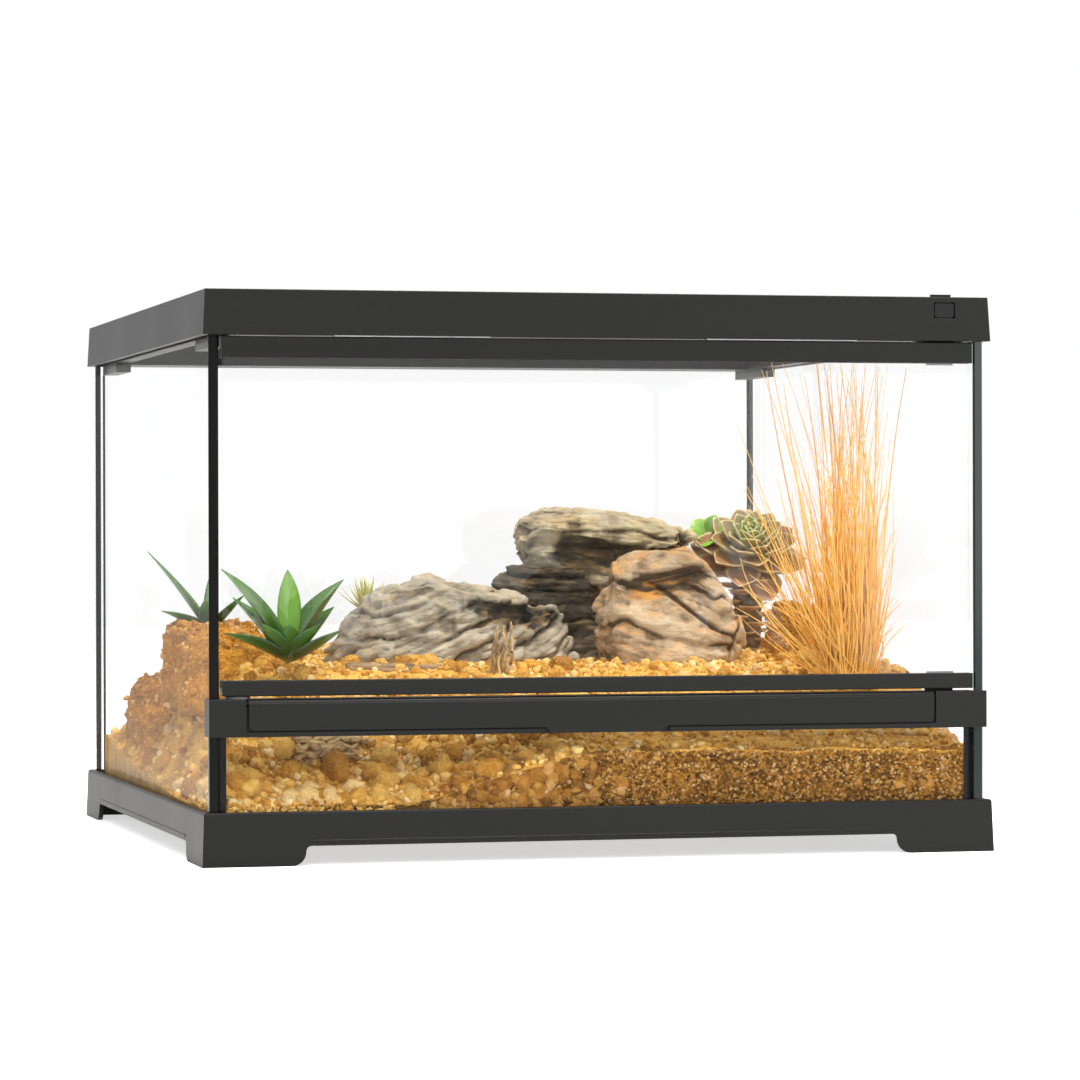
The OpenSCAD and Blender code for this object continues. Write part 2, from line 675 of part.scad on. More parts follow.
// A round wire that follows points, closed at both ends
module sweep(points, r, sides) {
    n = len(points);
    dir = [for (i = [0:n - 1]) let (d = points[min(i + 1, n - 1)] - points[max(i - 1, 0)]) d / norm(d)];
    ring = [for (i = [0:n - 1]) let (u0 = cross(dir[i], [0.0, 1.0, 0.01]), u = u0 / norm(u0),
        v = cross(dir[i], u))
        for (k = [0:sides - 1]) points[i] + r * (cos(360 * k / sides) * u + sin(360 * k / sides) * v)];
    polyhedron(ring, concat(
        [[for (k = [0:sides - 1]) k]],
        [for (i = [0:n - 2], k = [0:sides - 1])
            let (a = i * sides + k, b = i * sides + (k + 1) % sides) [a, a + sides, b]],
        [for (i = [0:n - 2], k = [0:sides - 1])
            let (a = i * sides + k, b = i * sides + (k + 1) % sides) [b, a + sides, b + sides]],
        [[for (k = [sides - 1:-1:0]) (n - 1) * sides + k]]), convexity = 10);
}

module button_spring() {
    wire_r = 0.35;
    coil_r = 2.6;
    y0 = arm_y0 + arm_t + wire_r;
    y1 = spring_y1 - wire_r;
    steps = 8 * spring_turns;
    color([0.7, 0.7, 0.72])
        sweep([for (i = [0:steps]) [button_x + coil_r * cos(360 * i / 8), y0 + (y1 - y0) * i / steps,
        button_z + coil_r * sin(360 * i / 8)]], wire_r, 6);
}

module latch_cover() {
    color([0.15, 0.15, 0.15]) block([button_x - well_w / 2 + 0.1, well_y_low, well_z0 - cover_t],
        [button_x + well_w / 2 - 0.1, well_y1 - 0.1, well_z0]);
}

// ---------------------------------------------------------------- Screen lid

lid_hx = pocket_hx - lid_gap;
lid_y0 = pocket_y0 + lid_gap;
lid_y1 = lid_axis_y;
lid_z1 = top_z - 0.2;
mesh_t = 0.8;
mesh_z = lid_seat_z + 1.2;
mesh_in = 4;

module lid_frame() {
    color([0.14, 0.14, 0.14]) difference() {
        union() {
            block([-lid_hx, lid_y0, lid_seat_z], [lid_hx, lid_y1, lid_z1]);
            translate([0, lid_axis_y, lid_axis_z]) rod_x(lid_roll_r, -lid_hx, lid_hx);
            translate([0, lid_axis_y, lid_axis_z]) rod_x(lid_pin_r, -lid_hx - 3.6, lid_hx + 3.6);
        }
        block([-lid_hx + lid_bar, lid_y0 + lid_bar, lid_seat_z - 1], [lid_hx - lid_bar, lid_y1 - lid_bar,
            top_z + 1]);
        block([-lid_hx + lid_bar - mesh_in, lid_y0 + lid_bar - mesh_in, mesh_z],
            [lid_hx - lid_bar + mesh_in, lid_y1 - lid_bar + mesh_in, mesh_z + mesh_t]);
        // Square the rear edge down to the roll
        block([-far, lid_axis_y, lid_axis_z + lid_roll_r], [far, lid_axis_y + 10, top_z + 1]);
        // Channels of the latches
        for (s = [-1, 1])
            block([s * latch_x - latch_w / 2 - 0.1, lid_y0 - 1, latch_z0 - 0.1],
                [s * latch_x + latch_w / 2 + 0.1, lid_y0 + 10.4, top_z + 1]);
    }
}

module lid_mesh() {
    x = lid_hx - lid_bar + mesh_in;
    y0 = lid_y0 + lid_bar - mesh_in;
    y1 = lid_y1 - lid_bar + mesh_in;
    px = (2 * (x - mesh_in) - wire) / mesh_nx;
    py = (y1 - y0 - 2 * mesh_in - wire) / mesh_ny;
    color([0.55, 0.55, 0.56]) translate([0, 0, mesh_z]) linear_extrude(height = mesh_t) difference() {
        translate([-x, y0]) square([2 * x, y1 - y0]);
        for (i = [0:mesh_nx - 1], k = [0:mesh_ny - 1])
            translate([-x + mesh_in + wire + i * px, y0 + mesh_in + wire + k * py])
                square([px - wire, py - wire]);
    }
}

// A flat slide with grooves for a fingernail
module lid_latch(s) {
    y = lid_y0 + 0.2;
    color([0.2, 0.2, 0.2]) translate([s * latch_x, 0, 0]) difference() {
        block([-latch_w / 2, y, latch_z0], [latch_w / 2, y + latch_l, latch_z0 + latch_t]);
        for (i = [0:2])
            block([-latch_w / 2 + 1, y + grip_from + grip_step * i, latch_z0 + latch_t - 0.6],
                [latch_w / 2 - 1, y + grip_from + grip_step * i + 0.7, top_z]);
    }
}

module left_lid_latch() { lid_latch(-1); }
module right_lid_latch() { lid_latch(1); }

// ---------------------------------------------------------------- Sand, clay and stones

wall_gap = 0.4;
sand_hx = ix - wall_gap;
sand_hy = iy - wall_gap;
sand_cells = 15;
rear_more = 5;
rear_from = 40;
rear_run = 200;
corner_low = 22;
corner_w = 90;
corner_run = 180;
front_turn = 130;
side_from = 120;
sand_cut = bead + 1;

function smooth(t) = let (c = min(1, max(0, t))) c * c * (3 - 2 * c);
function ripple(x, y) = 1.6 * sin(x * 2.1 + 20) * cos(y * 2.6) + 1.1 * sin(x * 4.7 - y * 3.9) + 0.8
    * cos(x * 7.3 + y * 6.1);

// Height of the sand: banked up from the front pane and the left pane to the rocks, lower at the back left
function sand_z(x, y) = let (
    behind = rear_more * smooth((y + rear_from) / rear_run),
    corner = corner_low * smooth((corner_w - x - ix) / (corner_w - 10)) * smooth((y + 20) / corner_run),
    deep = sand_deep + behind - corner,
    front = sand_front_left + (sand_front - sand_front_left) * smooth((x + front_turn) / front_turn),
    side = sand_side + sand_side_rise * pow(max(0, (y + side_from) / (iy + side_from)), 1.5),
    from_front = front + (deep - front) * smooth((y + iy) / sand_run),
    from_side = side + (deep - side) * smooth((x + ix) / sand_side_run))
    floor_z + min(from_front, from_side) + ripple(x, y);

module sand_bed() {
    n = sand_cells;
    side = n + 1;
    top = [for (j = [0:n], i = [0:n]) let (x = -sand_hx + 2 * sand_hx * i / n,
        y = -sand_hy + 2 * sand_hy * j / n) [x, y, sand_z(x, y)]];
    low = [for (y = [-sand_hy, sand_hy], x = [-sand_hx, sand_hx]) [x, y, floor_z]];
    base = len(top);
    polyhedron(concat(top, low), concat(
        [for (j = [0:n - 1], i = [0:n - 1]) let (a = j * side + i) [a, a + side, a + 1]],
        [for (j = [0:n - 1], i = [0:n - 1]) let (a = j * side + i) [a + 1, a + side, a + side + 1]],
        [concat([base + 1, base], [for (i = [0:n]) i])],
        [concat([base + 2, base + 3], [for (i = [n:-1:0]) n * side + i])],
        [concat([base, base + 2], [for (j = [n:-1:0]) j * side])],
        [concat([base + 3, base + 1], [for (j = [0:n]) j * side + n])],
        [[base, base + 1, base + 3, base + 2]]), convexity = 10);
}

// A rough lump: two rings of corners and a blunt top, joined by a hull
module lump(w, d, h, turn, seed) {
    jitter = rands(0.82, 1.08, 16, seed);
    rotate([0, 0, turn]) hull() {
        linear_extrude(height = 0.1)
            polygon([for (i = [0:6]) 0.5 * 0.86 * jitter[i] * [w * cos(i * 360 / 7), d * sin(i * 360 / 7)]]);
        translate([0, 0, h * 0.45]) linear_extrude(height = 0.1)
            polygon([for (i = [0:6]) 0.5 * jitter[i + 7] * [w * cos(i * 360 / 7 + 20),
            d * sin(i * 360 / 7 + 20)]]);
        translate([0, 0, h - 0.1]) linear_extrude(height = 0.1)
            polygon([for (i = [0:4]) 0.5 * 0.5 * jitter[i + 3] * [w * cos(i * 72), d * sin(i * 72)]]);
    }
}

// Stones that lie half sunk in the sand, along the front and in the open
module loose_stones(count, seed) {
    r = rands(0, 1, count * 5, seed);
    for (i = [0:count - 1]) {
        x = (r[5 * i] - 0.5) * 2 * (sand_hx - 14);
        y = -sand_hy + 12 + r[5 * i + 1] * 88;
        s = 9 + 9 * r[5 * i + 2];
        translate([x, y, sand_z(x, y) - 0.45 * s]) lump(s, s * 0.8, s * 0.8, 360 * r[5 * i + 3], seed + i);
    }
}

// Where the rocks, plants and wood stand, measured from the inside of the glass
seat_level = floor_z + sand_deep - seat_in;
mound_in = 16;
mound_seat = seat_level - mound_in;
mound_at = [-ix + 49, 12];
lump_at = [ix - 32, 22];
long_rock_at = [-35, 2];
lower_rock_at = [94, -28];
upper_rock_at = [74, 56];
rock_deck = seat_level + 58;
front_succulent_at = [-ix + 58, -118];
rear_succulent_at = [-ix + 34, 42];
air_plant_at = [-66, 118];
rosette_at = [ix - 40, 92];
grass_at = [ix - 47, -iy + 82];
stump_at = [-31, -iy + 118];
stick_at = [-92, -iy + 132];
log_at = [-ix + 76, -iy + 54];
root_r = 9;
seat_play = 0.6;
seat_ease = 1.05;

module oval_seat(p, w, d, z = seat_level) { translate([p.x, p.y, z]) linear_extrude(height = far)
    scale([w * seat_ease / 2, d * seat_ease / 2]) circle(r = 1, $fn = 22); }
module round_seat(p, r) { translate([p.x, p.y, seat_level]) cylinder(r = r + seat_play, h = far); }
module box_seat(p, w, d, z = seat_level) { block([p.x - w / 2 - seat_play, p.y - d / 2 - seat_play, z],
    [p.x + w / 2 + seat_play, p.y + d / 2 + seat_play, far]); }

module substrate() {
    color([0.80, 0.60, 0.32]) difference() {
        union() {
            sand_bed();
            loose_stones(10, 41);
        }
        // Seats of all that stands in the sand
        oval_seat(mound_at, mound_d.x, mound_d.y, mound_seat);
        oval_seat(lump_at, lump_d.x, lump_d.y);
        oval_seat(long_rock_at, long_rock_l, long_rock_d);
        oval_seat(lower_rock_at, lower_rock_l, lower_rock_d);
        oval_seat(rear_step_at, lower_rock_l * 0.8, rear_step_d);
        round_seat(front_succulent_at, root_r);
        round_seat(air_plant_at, root_r);
        round_seat(rosette_at, root_r);
        round_seat(grass_at, grass_root_r);
        translate([stump_at.x, stump_at.y, stump_z]) cylinder(r = stump_r + seat_play, h = far);
        box_seat(stick_at, stick_l, 2 * stick_r, stick_z);
        box_seat(log_at, log_l, 2 * log_r, log_z);
        // Room for the silicone beads
        for (sx = [-1, 1], sy = [-1, 1])
            translate([sx * ix, sy * iy, 0]) rotate([0, 0, 45])
                cube([sand_cut * sqrt(2), sand_cut * sqrt(2), far], center = true);
    }
}

// A stack of broken layers: each is a hull between two ragged outlines, and the layers step in and out
module layered_rock(l, d, h, layers, seed, top = 0.72, lean = [0, 0], foot = 0.86) {
    n = 9;
    r = rands(0.86, 1.0, layers * n * 2, seed);
    shift = rands(-1, 1, layers * 2, seed + 1);
    function girth(t) = (t < 0.35 ? foot + (1 - foot) * t / 0.35 : 1 - (1 - top) * pow((t - 0.35) / 0.65,
        2.2));
    for (k = [0:layers - 1]) {
        t0 = k / layers;
        t1 = (k + 1) / layers;
        g = min(girth(t0), girth(t1));
        g0 = girth(t0) * 0.97;
        g1 = max(girth(t1), g * 0.98);
        off = [shift[2 * k] * l * 0.012 + lean.x * t0, shift[2 * k + 1] * d * 0.02 + lean.y * t0];
        hull() {
            translate([off.x, off.y, h * t0 - (k > 0 ? 0.8 : 0)]) linear_extrude(height = 0.1)
                polygon([for (i = [0:n - 1]) 0.5 * g0 * r[k * 2 * n + i] * [l * cos(i * 360 / n + 11 * k),
                    d * sin(i * 360 / n + 11 * k)]]);
            translate([off.x, off.y, h * (t0 + 0.6 * (t1 - t0))]) linear_extrude(height = 0.1)
                polygon([for (i = [0:n - 1]) 0.5 * g1 * r[k * 2 * n + n + i]
                    * [l * cos(i * 360 / n + 11 * k + 9), d * sin(i * 360 / n + 11 * k + 9)]]);
            translate([off.x, off.y, h * t1 - 0.1]) linear_extrude(height = 0.1)
                polygon([for (i = [0:n - 1]) 0.5 * 0.93 * girth(t1) * r[k * 2 * n + i]
                    * [l * cos(i * 360 / n + 11 * k), d * sin(i * 360 / n + 11 * k)]]);
        }
    }
}

mound_d = [88, 178];
lump_d = [44, 50];

module clay_mound() {
    r = rands(-1, 1, 60, 7);
    color([0.78, 0.50, 0.20]) intersection() {
        union() for (i = [0:9]) {
            a = i * 360 / 10;
            translate([mound_at.x + 20 * cos(a) + 3 * r[i], mound_at.y + 52 * sin(a) + 4 * r[i + 14],
                mound_seat])
                lump(46, 62, mound_in + mound_h * (0.88 + 0.12 * r[i + 28]) + 5 * cos(a * 2),
                    30 * r[i + 42], 60 + i);
        }
        block([mound_at.x - mound_d.x / 2, mound_at.y - mound_d.y / 2, mound_seat],
            [mound_at.x + mound_d.x / 2, mound_at.y + mound_d.y / 2, far]);
        difference() {
            translate([0, 0, mound_seat]) cylinder(r = far, h = far);
            round_seat(front_succulent_at, root_r);
            round_seat(rear_succulent_at, root_r);
        }
    }
}

module rear_clay_lump() {
    r = rands(-1, 1, 40, 17);
    color([0.82, 0.56, 0.24]) intersection() {
        union() for (i = [0:8])
            translate([lump_at.x + 8 * r[i], lump_at.y + 9 * r[i + 9], seat_level])
                lump(30, 32, 50 + 6 * r[i + 18] - 3 * i, 50 * r[i + 27], 80 + i);
        block([lump_at.x - lump_d.x / 2, lump_at.y - lump_d.y / 2, seat_level],
            [lump_at.x + lump_d.x / 2, lump_at.y + lump_d.y / 2, far]);
    }
}

long_rock_d = 84;
lower_rock_d = 84;
lower_rock_h = 84;
rear_step_d = 70;
rear_step_at = lower_rock_at + [0, 60];

module long_rock() {
    color([0.62, 0.59, 0.52]) difference() {
        translate([long_rock_at.x, long_rock_at.y, seat_level])
            layered_rock(long_rock_l, long_rock_d, long_rock_h, 8, 23, top = 0.74, lean = [8, 10],
                foot = 0.97);
        // Flat deck under the upper boulder, and the side against the lower boulder
        block([upper_rock_at.x - upper_rock_l / 2 - 4, -far, rock_deck], [far, far, far]);
        block([lower_rock_at.x - lower_rock_l / 2 - seat_play, -far, 0], [far, far, far]);
    }
}

module lower_boulder() {
    color([0.68, 0.61, 0.50]) difference() {
        union() {
            translate([lower_rock_at.x, lower_rock_at.y, seat_level])
                layered_rock(lower_rock_l, lower_rock_d, lower_rock_h, 7, 31, top = 0.60, lean = [-6, 0],
                    foot = 0.95);
            translate([rear_step_at.x, rear_step_at.y, seat_level])
                layered_rock(lower_rock_l * 0.8, rear_step_d, rock_deck - seat_level, 3, 33, top = 0.9,
                    foot = 1);
        }
        // Shelf that the upper boulder lies on
        block([-far, upper_rock_at.y - upper_rock_d / 2 - 1, rock_deck], [far, far, far]);
    }
}

upper_rock_d = 92;

module upper_boulder() {
    color([0.64, 0.60, 0.52]) difference() {
        translate([upper_rock_at.x, upper_rock_at.y, rock_deck])
            layered_rock(upper_rock_l, upper_rock_d, upper_rock_h, 8, 5, top = 0.66, lean = [-4, 6],
                foot = 0.8);
    }
}

// ---------------------------------------------------------------- Wood

stump_r = 8;
stump_l = 48;
stump_z = sand_z(stump_at.x, stump_at.y) - 14;
stick_r = 4;
stick_l = 58;
stick_z = sand_z(stick_at.x, stick_at.y) - 2;
log_r = 9;
log_l = 46;
log_z = sand_z(log_at.x, log_at.y) - 7;

// A hollow stem with rows of long holes, standing on the origin
module cactus_wood(r, l, rows) {
    difference() {
        cylinder(r = r, h = l);
        translate([0, 0, -1]) cylinder(r = r * 0.62, h = l + 2);
        for (k = [0:rows - 1], i = [0:2])
            translate([0, 0, l * (k + 0.7) / (rows + 0.4)]) rotate([0, 0, i * 120 + k * 60])
                rotate([0, 90, 0]) cylinder(r = r * 0.34, h = 2 * r);
    }
}

module cactus_wood_stump() {
    color([0.55, 0.43, 0.28]) translate([stump_at.x, stump_at.y, stump_z]) cactus_wood(stump_r, stump_l, 4);
}

module cactus_wood_log() {
    color([0.42, 0.32, 0.20]) intersection() {
        translate([log_at.x - log_l / 2, log_at.y, log_z + log_r - 0.5]) rotate([0, 90, 0])
            cactus_wood(log_r, log_l, 4);
        block([-far, -iy + 0.3, log_z], [far, 0, far]);
    }
}

module driftwood_stick() {
    color([0.58, 0.46, 0.30]) intersection() {
        union() {
            translate([stick_at.x, stick_at.y, stick_z + stick_r - 0.5])
                rod_x(stick_r, -stick_l / 2, stick_l * 0.2);
            translate([stick_at.x, stick_at.y, stick_z + stick_r - 0.5]) rod_x(stick_r * 0.7, 0, stick_l / 2);
        }
        block([-far, -far, stick_z], [far, far, far]);
    }
}

// ---------------------------------------------------------------- Plants

// Half breadth of a leaf along its length, as a share of its greatest half breadth
function leaf_shape(t) = 0.55 + 0.45 * sin(min(t, 0.35) / 0.35 * 90) - (t > 0.35
    ? 0.96 * pow((t - 0.35) / 0.65, 2.1) : 0);

// A fleshy leaf that grows along X and bends upwards; its upper side is hollowed
module leaf(l, w, thick, rise, bend, n = 5) {
    at = [for (i = [0:n]) let (t = i / n) [l * t * cos(rise + bend * t / 2), 0,
        l * t * sin(rise + bend * t / 2)]];
    ring = [for (i = [0:n]) let (t = i / n, a = rise + bend * t, s = leaf_shape(t), up = [-sin(a), 0, cos(a)])
        for (q = [[-1, 0.3], [-0.55, -0.45], [0, -0.62], [0.55, -0.45], [1, 0.3], [0, -0.02 + 0.2 * t]])
            at[i] + [0, q.x * w / 2 * s, 0] + up * q.y * thick * s];
    m = 6;
    polyhedron(ring, concat(
        [[for (k = [0:m - 1]) k]],
        [for (i = [0:n - 1], k = [0:m - 1]) let (a = i * m + k, b = i * m + (k + 1) % m) [a, a + m, b]],
        [for (i = [0:n - 1], k = [0:m - 1]) let (a = i * m + k, b = i * m + (k + 1) % m) [b, a + m, b + m]],
        [[for (k = [m - 1:-1:0]) n * m + k]]), convexity = 6);
}

// Root ball under the sand with the stubs of old leaves on it
module crown(r, h, stubs = 8) {
    cylinder(r = root_r, h = h);
    for (i = [0:stubs - 1])
        rotate([0, 0, i * 360 / stubs]) hull() {
            translate([0, 0, h - 2]) cylinder(r = r * 0.5, h = 3, $fn = 5);
            translate([r * 0.75, 0, h + 1]) cylinder(r = r * 0.28, h = 2, $fn = 5);
        }
}

module front_succulent() {
    h = seat_in + 6;
    color([0.25, 0.45, 0.15]) translate([front_succulent_at.x, front_succulent_at.y, seat_level]) {
        union() {
            crown(root_r, h);
            // Turn, rise, bend and share of the full length of each leaf
            for (q = [[-8, 38, 18, 1.0], [28, 58, 8, 0.80], [72, 72, 6, 0.98], [118, 58, 16, 0.84],
                [172, 40, 28, 1.04],
                      [200, 18, 20, 0.72], [236, 30, 16, 0.62], [288, 34, -20, 0.66], [330, 22, 16, 0.60],
                          [352, 22, 8, 0.7]])
                translate([0, 0, h - 2]) rotate([0, 0, q.x]) leaf(leaf_l * q[3], 15, 4.4, q.y, q.z, 4);
        }
    }
}

module rear_succulent() {
    h = 37;
    color([0.22, 0.42, 0.15]) translate([rear_succulent_at.x, rear_succulent_at.y, seat_level]) {
        union() {
            crown(root_r, h);
            for (q = [[158, 52, 10, 0.86], [186, 20, 14, 0.5], [60, 80, 0, 0.62], [-20, 46, 10, 0.5],
                [250, 44, 16, 0.5], [110, 66, 0, 0.6]])
                translate([0, 0, h - 2]) rotate([0, 0, q.x]) leaf(leaf_l * q[3], 11, 3.6, q.y, q.z, 4);
        }
    }
}

module air_plant() {
    h = seat_in + 34;
    color([0.70, 0.72, 0.38]) translate([air_plant_at.x, air_plant_at.y, seat_level]) {
        union() {
            crown(root_r, h);
            for (i = [0:7])
                translate([0, 0, h - 1]) rotate([0, 0, i * 137.5]) leaf(21 + 4 * sin(i * 80), 3.2, 2,
                    28 + 6 * i, 12, 2);
        }
    }
}

rosette_leaves = 16;
leaf_turn = 137.5;

// Leaves of the rosette stand in one spiral, the outer ones low and long, the inner ones short and upright
module rosette_head() {
    translate([0, 0, -11]) lump(26, 25, 22, 10, 3);
    for (i = [0:rosette_leaves - 1]) {
        t = i / (rosette_leaves - 1);
        start = 5 - 3 * t;
        rotate([0, 0, i * leaf_turn]) translate([start, 0, 11 * t - 3])
            leaf((rosette_r - start) * (1 - 0.58 * t), 28 * (1 - 0.5 * t), 5, -6 + 60 * t, 24, 3);
    }
}

module rosette_plant() {
    lean = [28, -8, 0];
    stem_leaves = 4;
    color([0.52, 0.50, 0.34]) translate([rosette_at.x, rosette_at.y, seat_level]) union() {
        crown(root_r, 20);
        cylinder(r1 = 8, r2 = 11, h = rosette_stem, $fn = 24);
        translate([0, 0, rosette_stem]) rotate(lean) rosette_head();
        for (i = [0:stem_leaves - 1])
            translate([0, 0, rosette_stem - 42 + 9.3 * i]) rotate([0, 0, i * leaf_turn + 4])
                translate([5, 0, 0]) leaf(17, 16, 4, -14, 18, 2);
    }
}

grass_root_r = 17;
grass_foot_r = 10;

// One dry stalk with three sides, from its foot to its tip
module stalk(foot, tip, bow, r) {
    n = 3;
    sweep_points = [for (i = [0:n]) let (t = i / n) foot + (tip - foot) * t + bow * sin(180 * t)];
    ring = [for (i = [0:n], k = [0:2]) let (s = r * (1 - 0.6 * i / n))
        sweep_points[i] + s * [cos(120 * k + 15), sin(120 * k + 15), 0]];
    polyhedron(ring, concat([[0, 1, 2]],
        [for (i = [0:n - 1], k = [0:2]) let (a = i * 3 + k, b = i * 3 + (k + 1) % 3) [a, a + 3, b]],
        [for (i = [0:n - 1], k = [0:2]) let (a = i * 3 + k, b = i * 3 + (k + 1) % 3) [b, a + 3, b + 3]],
        [[3 * n + 2, 3 * n + 1, 3 * n]]), convexity = 4);
}

// The clump: a blunt core with a rim of cut-off tufts round it
module grass_clump(h) {
    tufts = 9;
    jitter = rands(-1, 1, tufts, 12);
    lump(2 * grass_root_r - 4, 2 * grass_root_r - 4, h, 10, 90);
    for (i = [0:tufts - 1])
        rotate([0, 0, i * 360 / tufts]) hull() {
            translate([grass_root_r - 6, 0, 0]) cylinder(r = 3.5, h = h * 0.5, $fn = 5);
            translate([grass_root_r - 4, 0, h + 3 * jitter[i]]) cylinder(r = 1.6, h = 2, $fn = 5);
        }
}

module dried_grass() {
    r = rands(-1, 1, grass_n * 3, 11);
    spread = 2.1;
    color([0.88, 0.66, 0.30]) translate([grass_at.x, grass_at.y, seat_level]) union() {
        grass_clump(seat_in + 8);
        for (i = [0:grass_n - 1]) {
            q = grass_foot_r * sqrt((i + 0.5) / grass_n);
            foot = [q * cos(i * 137.5), q * sin(i * 137.5), seat_in - 4];
            top = grass_h * (0.5 + 0.5 * pow(abs(r[3 * i]), 0.6));
            tip = [spread * foot.x + 0.8 * r[3 * i + 1], spread * foot.y * 0.9 + 0.8 * r[3 * i + 2], top];
            stalk(foot, tip, [foot.x, foot.y, 0] * 0.15, 0.85);
        }
    }
}

base_frame();
floor_glass();
left_glass();
right_glass();
back_glass();
lower_front_glass();
rear_silicone();
front_silicone();
front_bar();
vent_screen();
vent_flap();
door_glass();
door_top_strip();
door_bottom_strip();
upper_hinge_pin();
lower_hinge_pin();
hinge_washer();
upper_striker();
lower_striker();
lower_magnet();
top_frame();
front_ledge();
lid_keeper();
door_pads();
release_button();
button_magnet();
button_spring();
latch_cover();
lid_frame();
lid_mesh();
left_lid_latch();
right_lid_latch();
left_inlet_shutter();
right_inlet_shutter();
substrate();
clay_mound();
rear_clay_lump();
long_rock();
upper_boulder();
lower_boulder();
driftwood_stick();
cactus_wood_stump();
cactus_wood_log();
front_succulent();
rear_succulent();
air_plant();
rosette_plant();
dried_grass();
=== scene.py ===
"""Looks of a front-opening glass terrarium with a dry landscape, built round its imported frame.

Every length is in metres, in the frame's own axes: X to the right, Y to the back, Z up.
"""

import json
import logging
import math
from dataclasses import dataclass, field
from enum import Enum

import bmesh
import bpy
import numpy as np
from mathutils import Euler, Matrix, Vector

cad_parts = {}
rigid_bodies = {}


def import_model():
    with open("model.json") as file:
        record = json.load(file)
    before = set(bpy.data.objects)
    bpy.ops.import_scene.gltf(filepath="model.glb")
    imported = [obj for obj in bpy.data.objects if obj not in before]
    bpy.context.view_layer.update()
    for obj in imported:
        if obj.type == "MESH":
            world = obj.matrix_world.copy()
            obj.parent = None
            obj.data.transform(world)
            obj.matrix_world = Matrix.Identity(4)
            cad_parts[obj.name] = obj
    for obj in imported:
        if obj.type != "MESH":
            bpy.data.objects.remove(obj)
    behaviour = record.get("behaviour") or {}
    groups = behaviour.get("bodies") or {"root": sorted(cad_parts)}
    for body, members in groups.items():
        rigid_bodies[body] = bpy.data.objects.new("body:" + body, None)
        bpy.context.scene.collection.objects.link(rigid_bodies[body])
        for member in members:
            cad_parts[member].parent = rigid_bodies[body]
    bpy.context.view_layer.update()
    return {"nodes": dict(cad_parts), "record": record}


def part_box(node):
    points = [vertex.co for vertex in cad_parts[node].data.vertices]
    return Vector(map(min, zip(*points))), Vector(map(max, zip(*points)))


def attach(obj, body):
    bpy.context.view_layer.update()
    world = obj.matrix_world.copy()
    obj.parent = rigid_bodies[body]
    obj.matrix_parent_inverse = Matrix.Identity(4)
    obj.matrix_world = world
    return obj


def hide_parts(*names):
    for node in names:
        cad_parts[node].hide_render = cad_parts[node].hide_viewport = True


LOG = logging.getLogger("terrarium")
MM = 0.001
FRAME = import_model()
NODES = FRAME["nodes"]
TANK = "tank"
VIEW_YAW = math.radians(14.058)
RGB = tuple[float, float, float]
WHITE = (255, 255, 255)
GOLDEN_TURN = 137.5
FLOAT, COLOUR, VECTOR = "NodeSocketFloat", "NodeSocketColor", "NodeSocketVector"
WHOLE, FINISH = "NodeSocketInt", "NodeSocketMaterial"


# ---------------------------------------------------------------- Noise and small tools


def linear(colour: RGB) -> tuple[float, float, float, float]:
    """Turn a colour of 0 to 255 into the linear values that a shader takes.

    Args:
        colour: red, green and blue, from 0 to 255.

    Returns:
        Linear red, green, blue and an alpha of 1.
    """
    parts = [c / 255 for c in colour]
    lin = [c / 12.92 if c <= 0.04045 else ((c + 0.055) / 1.055) ** 2.4 for c in parts]
    return (*lin, 1.0)


def shaded(colour: RGB, share: float = 1.0, more: float = 0.0) -> RGB:
    """A colour times a share, plus more of each part, up to 255."""
    return tuple(min(255, c * share + more) for c in colour)


def smooth(t: np.ndarray) -> np.ndarray:
    """Ease t from 0 to 1."""
    t = np.clip(t, 0, 1)
    return t * t * (3 - 2 * t)


def lattice(cell: np.ndarray, seed: int) -> np.ndarray:
    """Give each cell of a grid its own value.

    Args:
        cell: whole-number places, as an array of N by 3.
        seed: choice of pattern.

    Returns:
        N values from -1 to 1.
    """
    h = cell[:, 0] * 374761393 + cell[:, 1] * 668265263 + cell[:, 2] * 1440662683 + seed * 974634777
    h = ((h & 0xFFFFFFFF) ^ ((h & 0xFFFFFFFF) >> 13)) * 1274126177 & 0xFFFFFFFF
    return ((h ^ (h >> 16)) & 0xFFFF) / 32767.5 - 1


def noise(points: np.ndarray, seed: int) -> np.ndarray:
    """Value noise with a cell of 1.

    Args:
        points: places, N by 3.
        seed: choice of pattern.

    Returns:
        N values from about -1 to 1.
    """
    base = np.floor(points).astype(np.int64)
    t = smooth(points - base)
    total = np.zeros(len(points))
    for corner in range(8):
        step = np.array([corner & 1, corner >> 1 & 1, corner >> 2])
        weight = np.prod(np.where(step, t, 1 - t), axis=1)
        total += weight * lattice(base + step, seed)
    return total


def fractal(points: np.ndarray, size: float, seed: int, octaves: int = 4) -> np.ndarray:
    """Noise in several sizes.

    Args:
        points: places, N by 3.
        size: length of the largest bumps.
        seed: choice of pattern.
        octaves: number of sizes, each half of the last.

    Returns:
        N values from about -1 to 1.
    """
    total = np.zeros(len(points))
    for k in range(octaves):
        total += noise(points * 2 ** k / size + 7.3 * k, seed + k) * 0.5 ** k
    return total / 1.6


def cells(points: np.ndarray, size: float, seed: int) -> np.ndarray:
    """Distance to the nearest of scattered centres, as a share of size.

    Args:
        points: places, N by 3.
        size: distance between centres.
        seed: choice of pattern.

    Returns:
        N values from 0 at a centre to about 1.
    """
    p = points / size
    base = np.floor(p).astype(np.int64)
    best = np.full(len(p), 9.0)
    for n in range(27):
        cell = base + np.array([n % 3 - 1, n // 3 % 3 - 1, n // 9 - 1])
        centre = cell + 0.5 + 0.42 * np.stack([lattice(cell, seed + k) for k in range(3)], axis=1)
        best = np.minimum(best, np.linalg.norm(p - centre, axis=1))
    return best


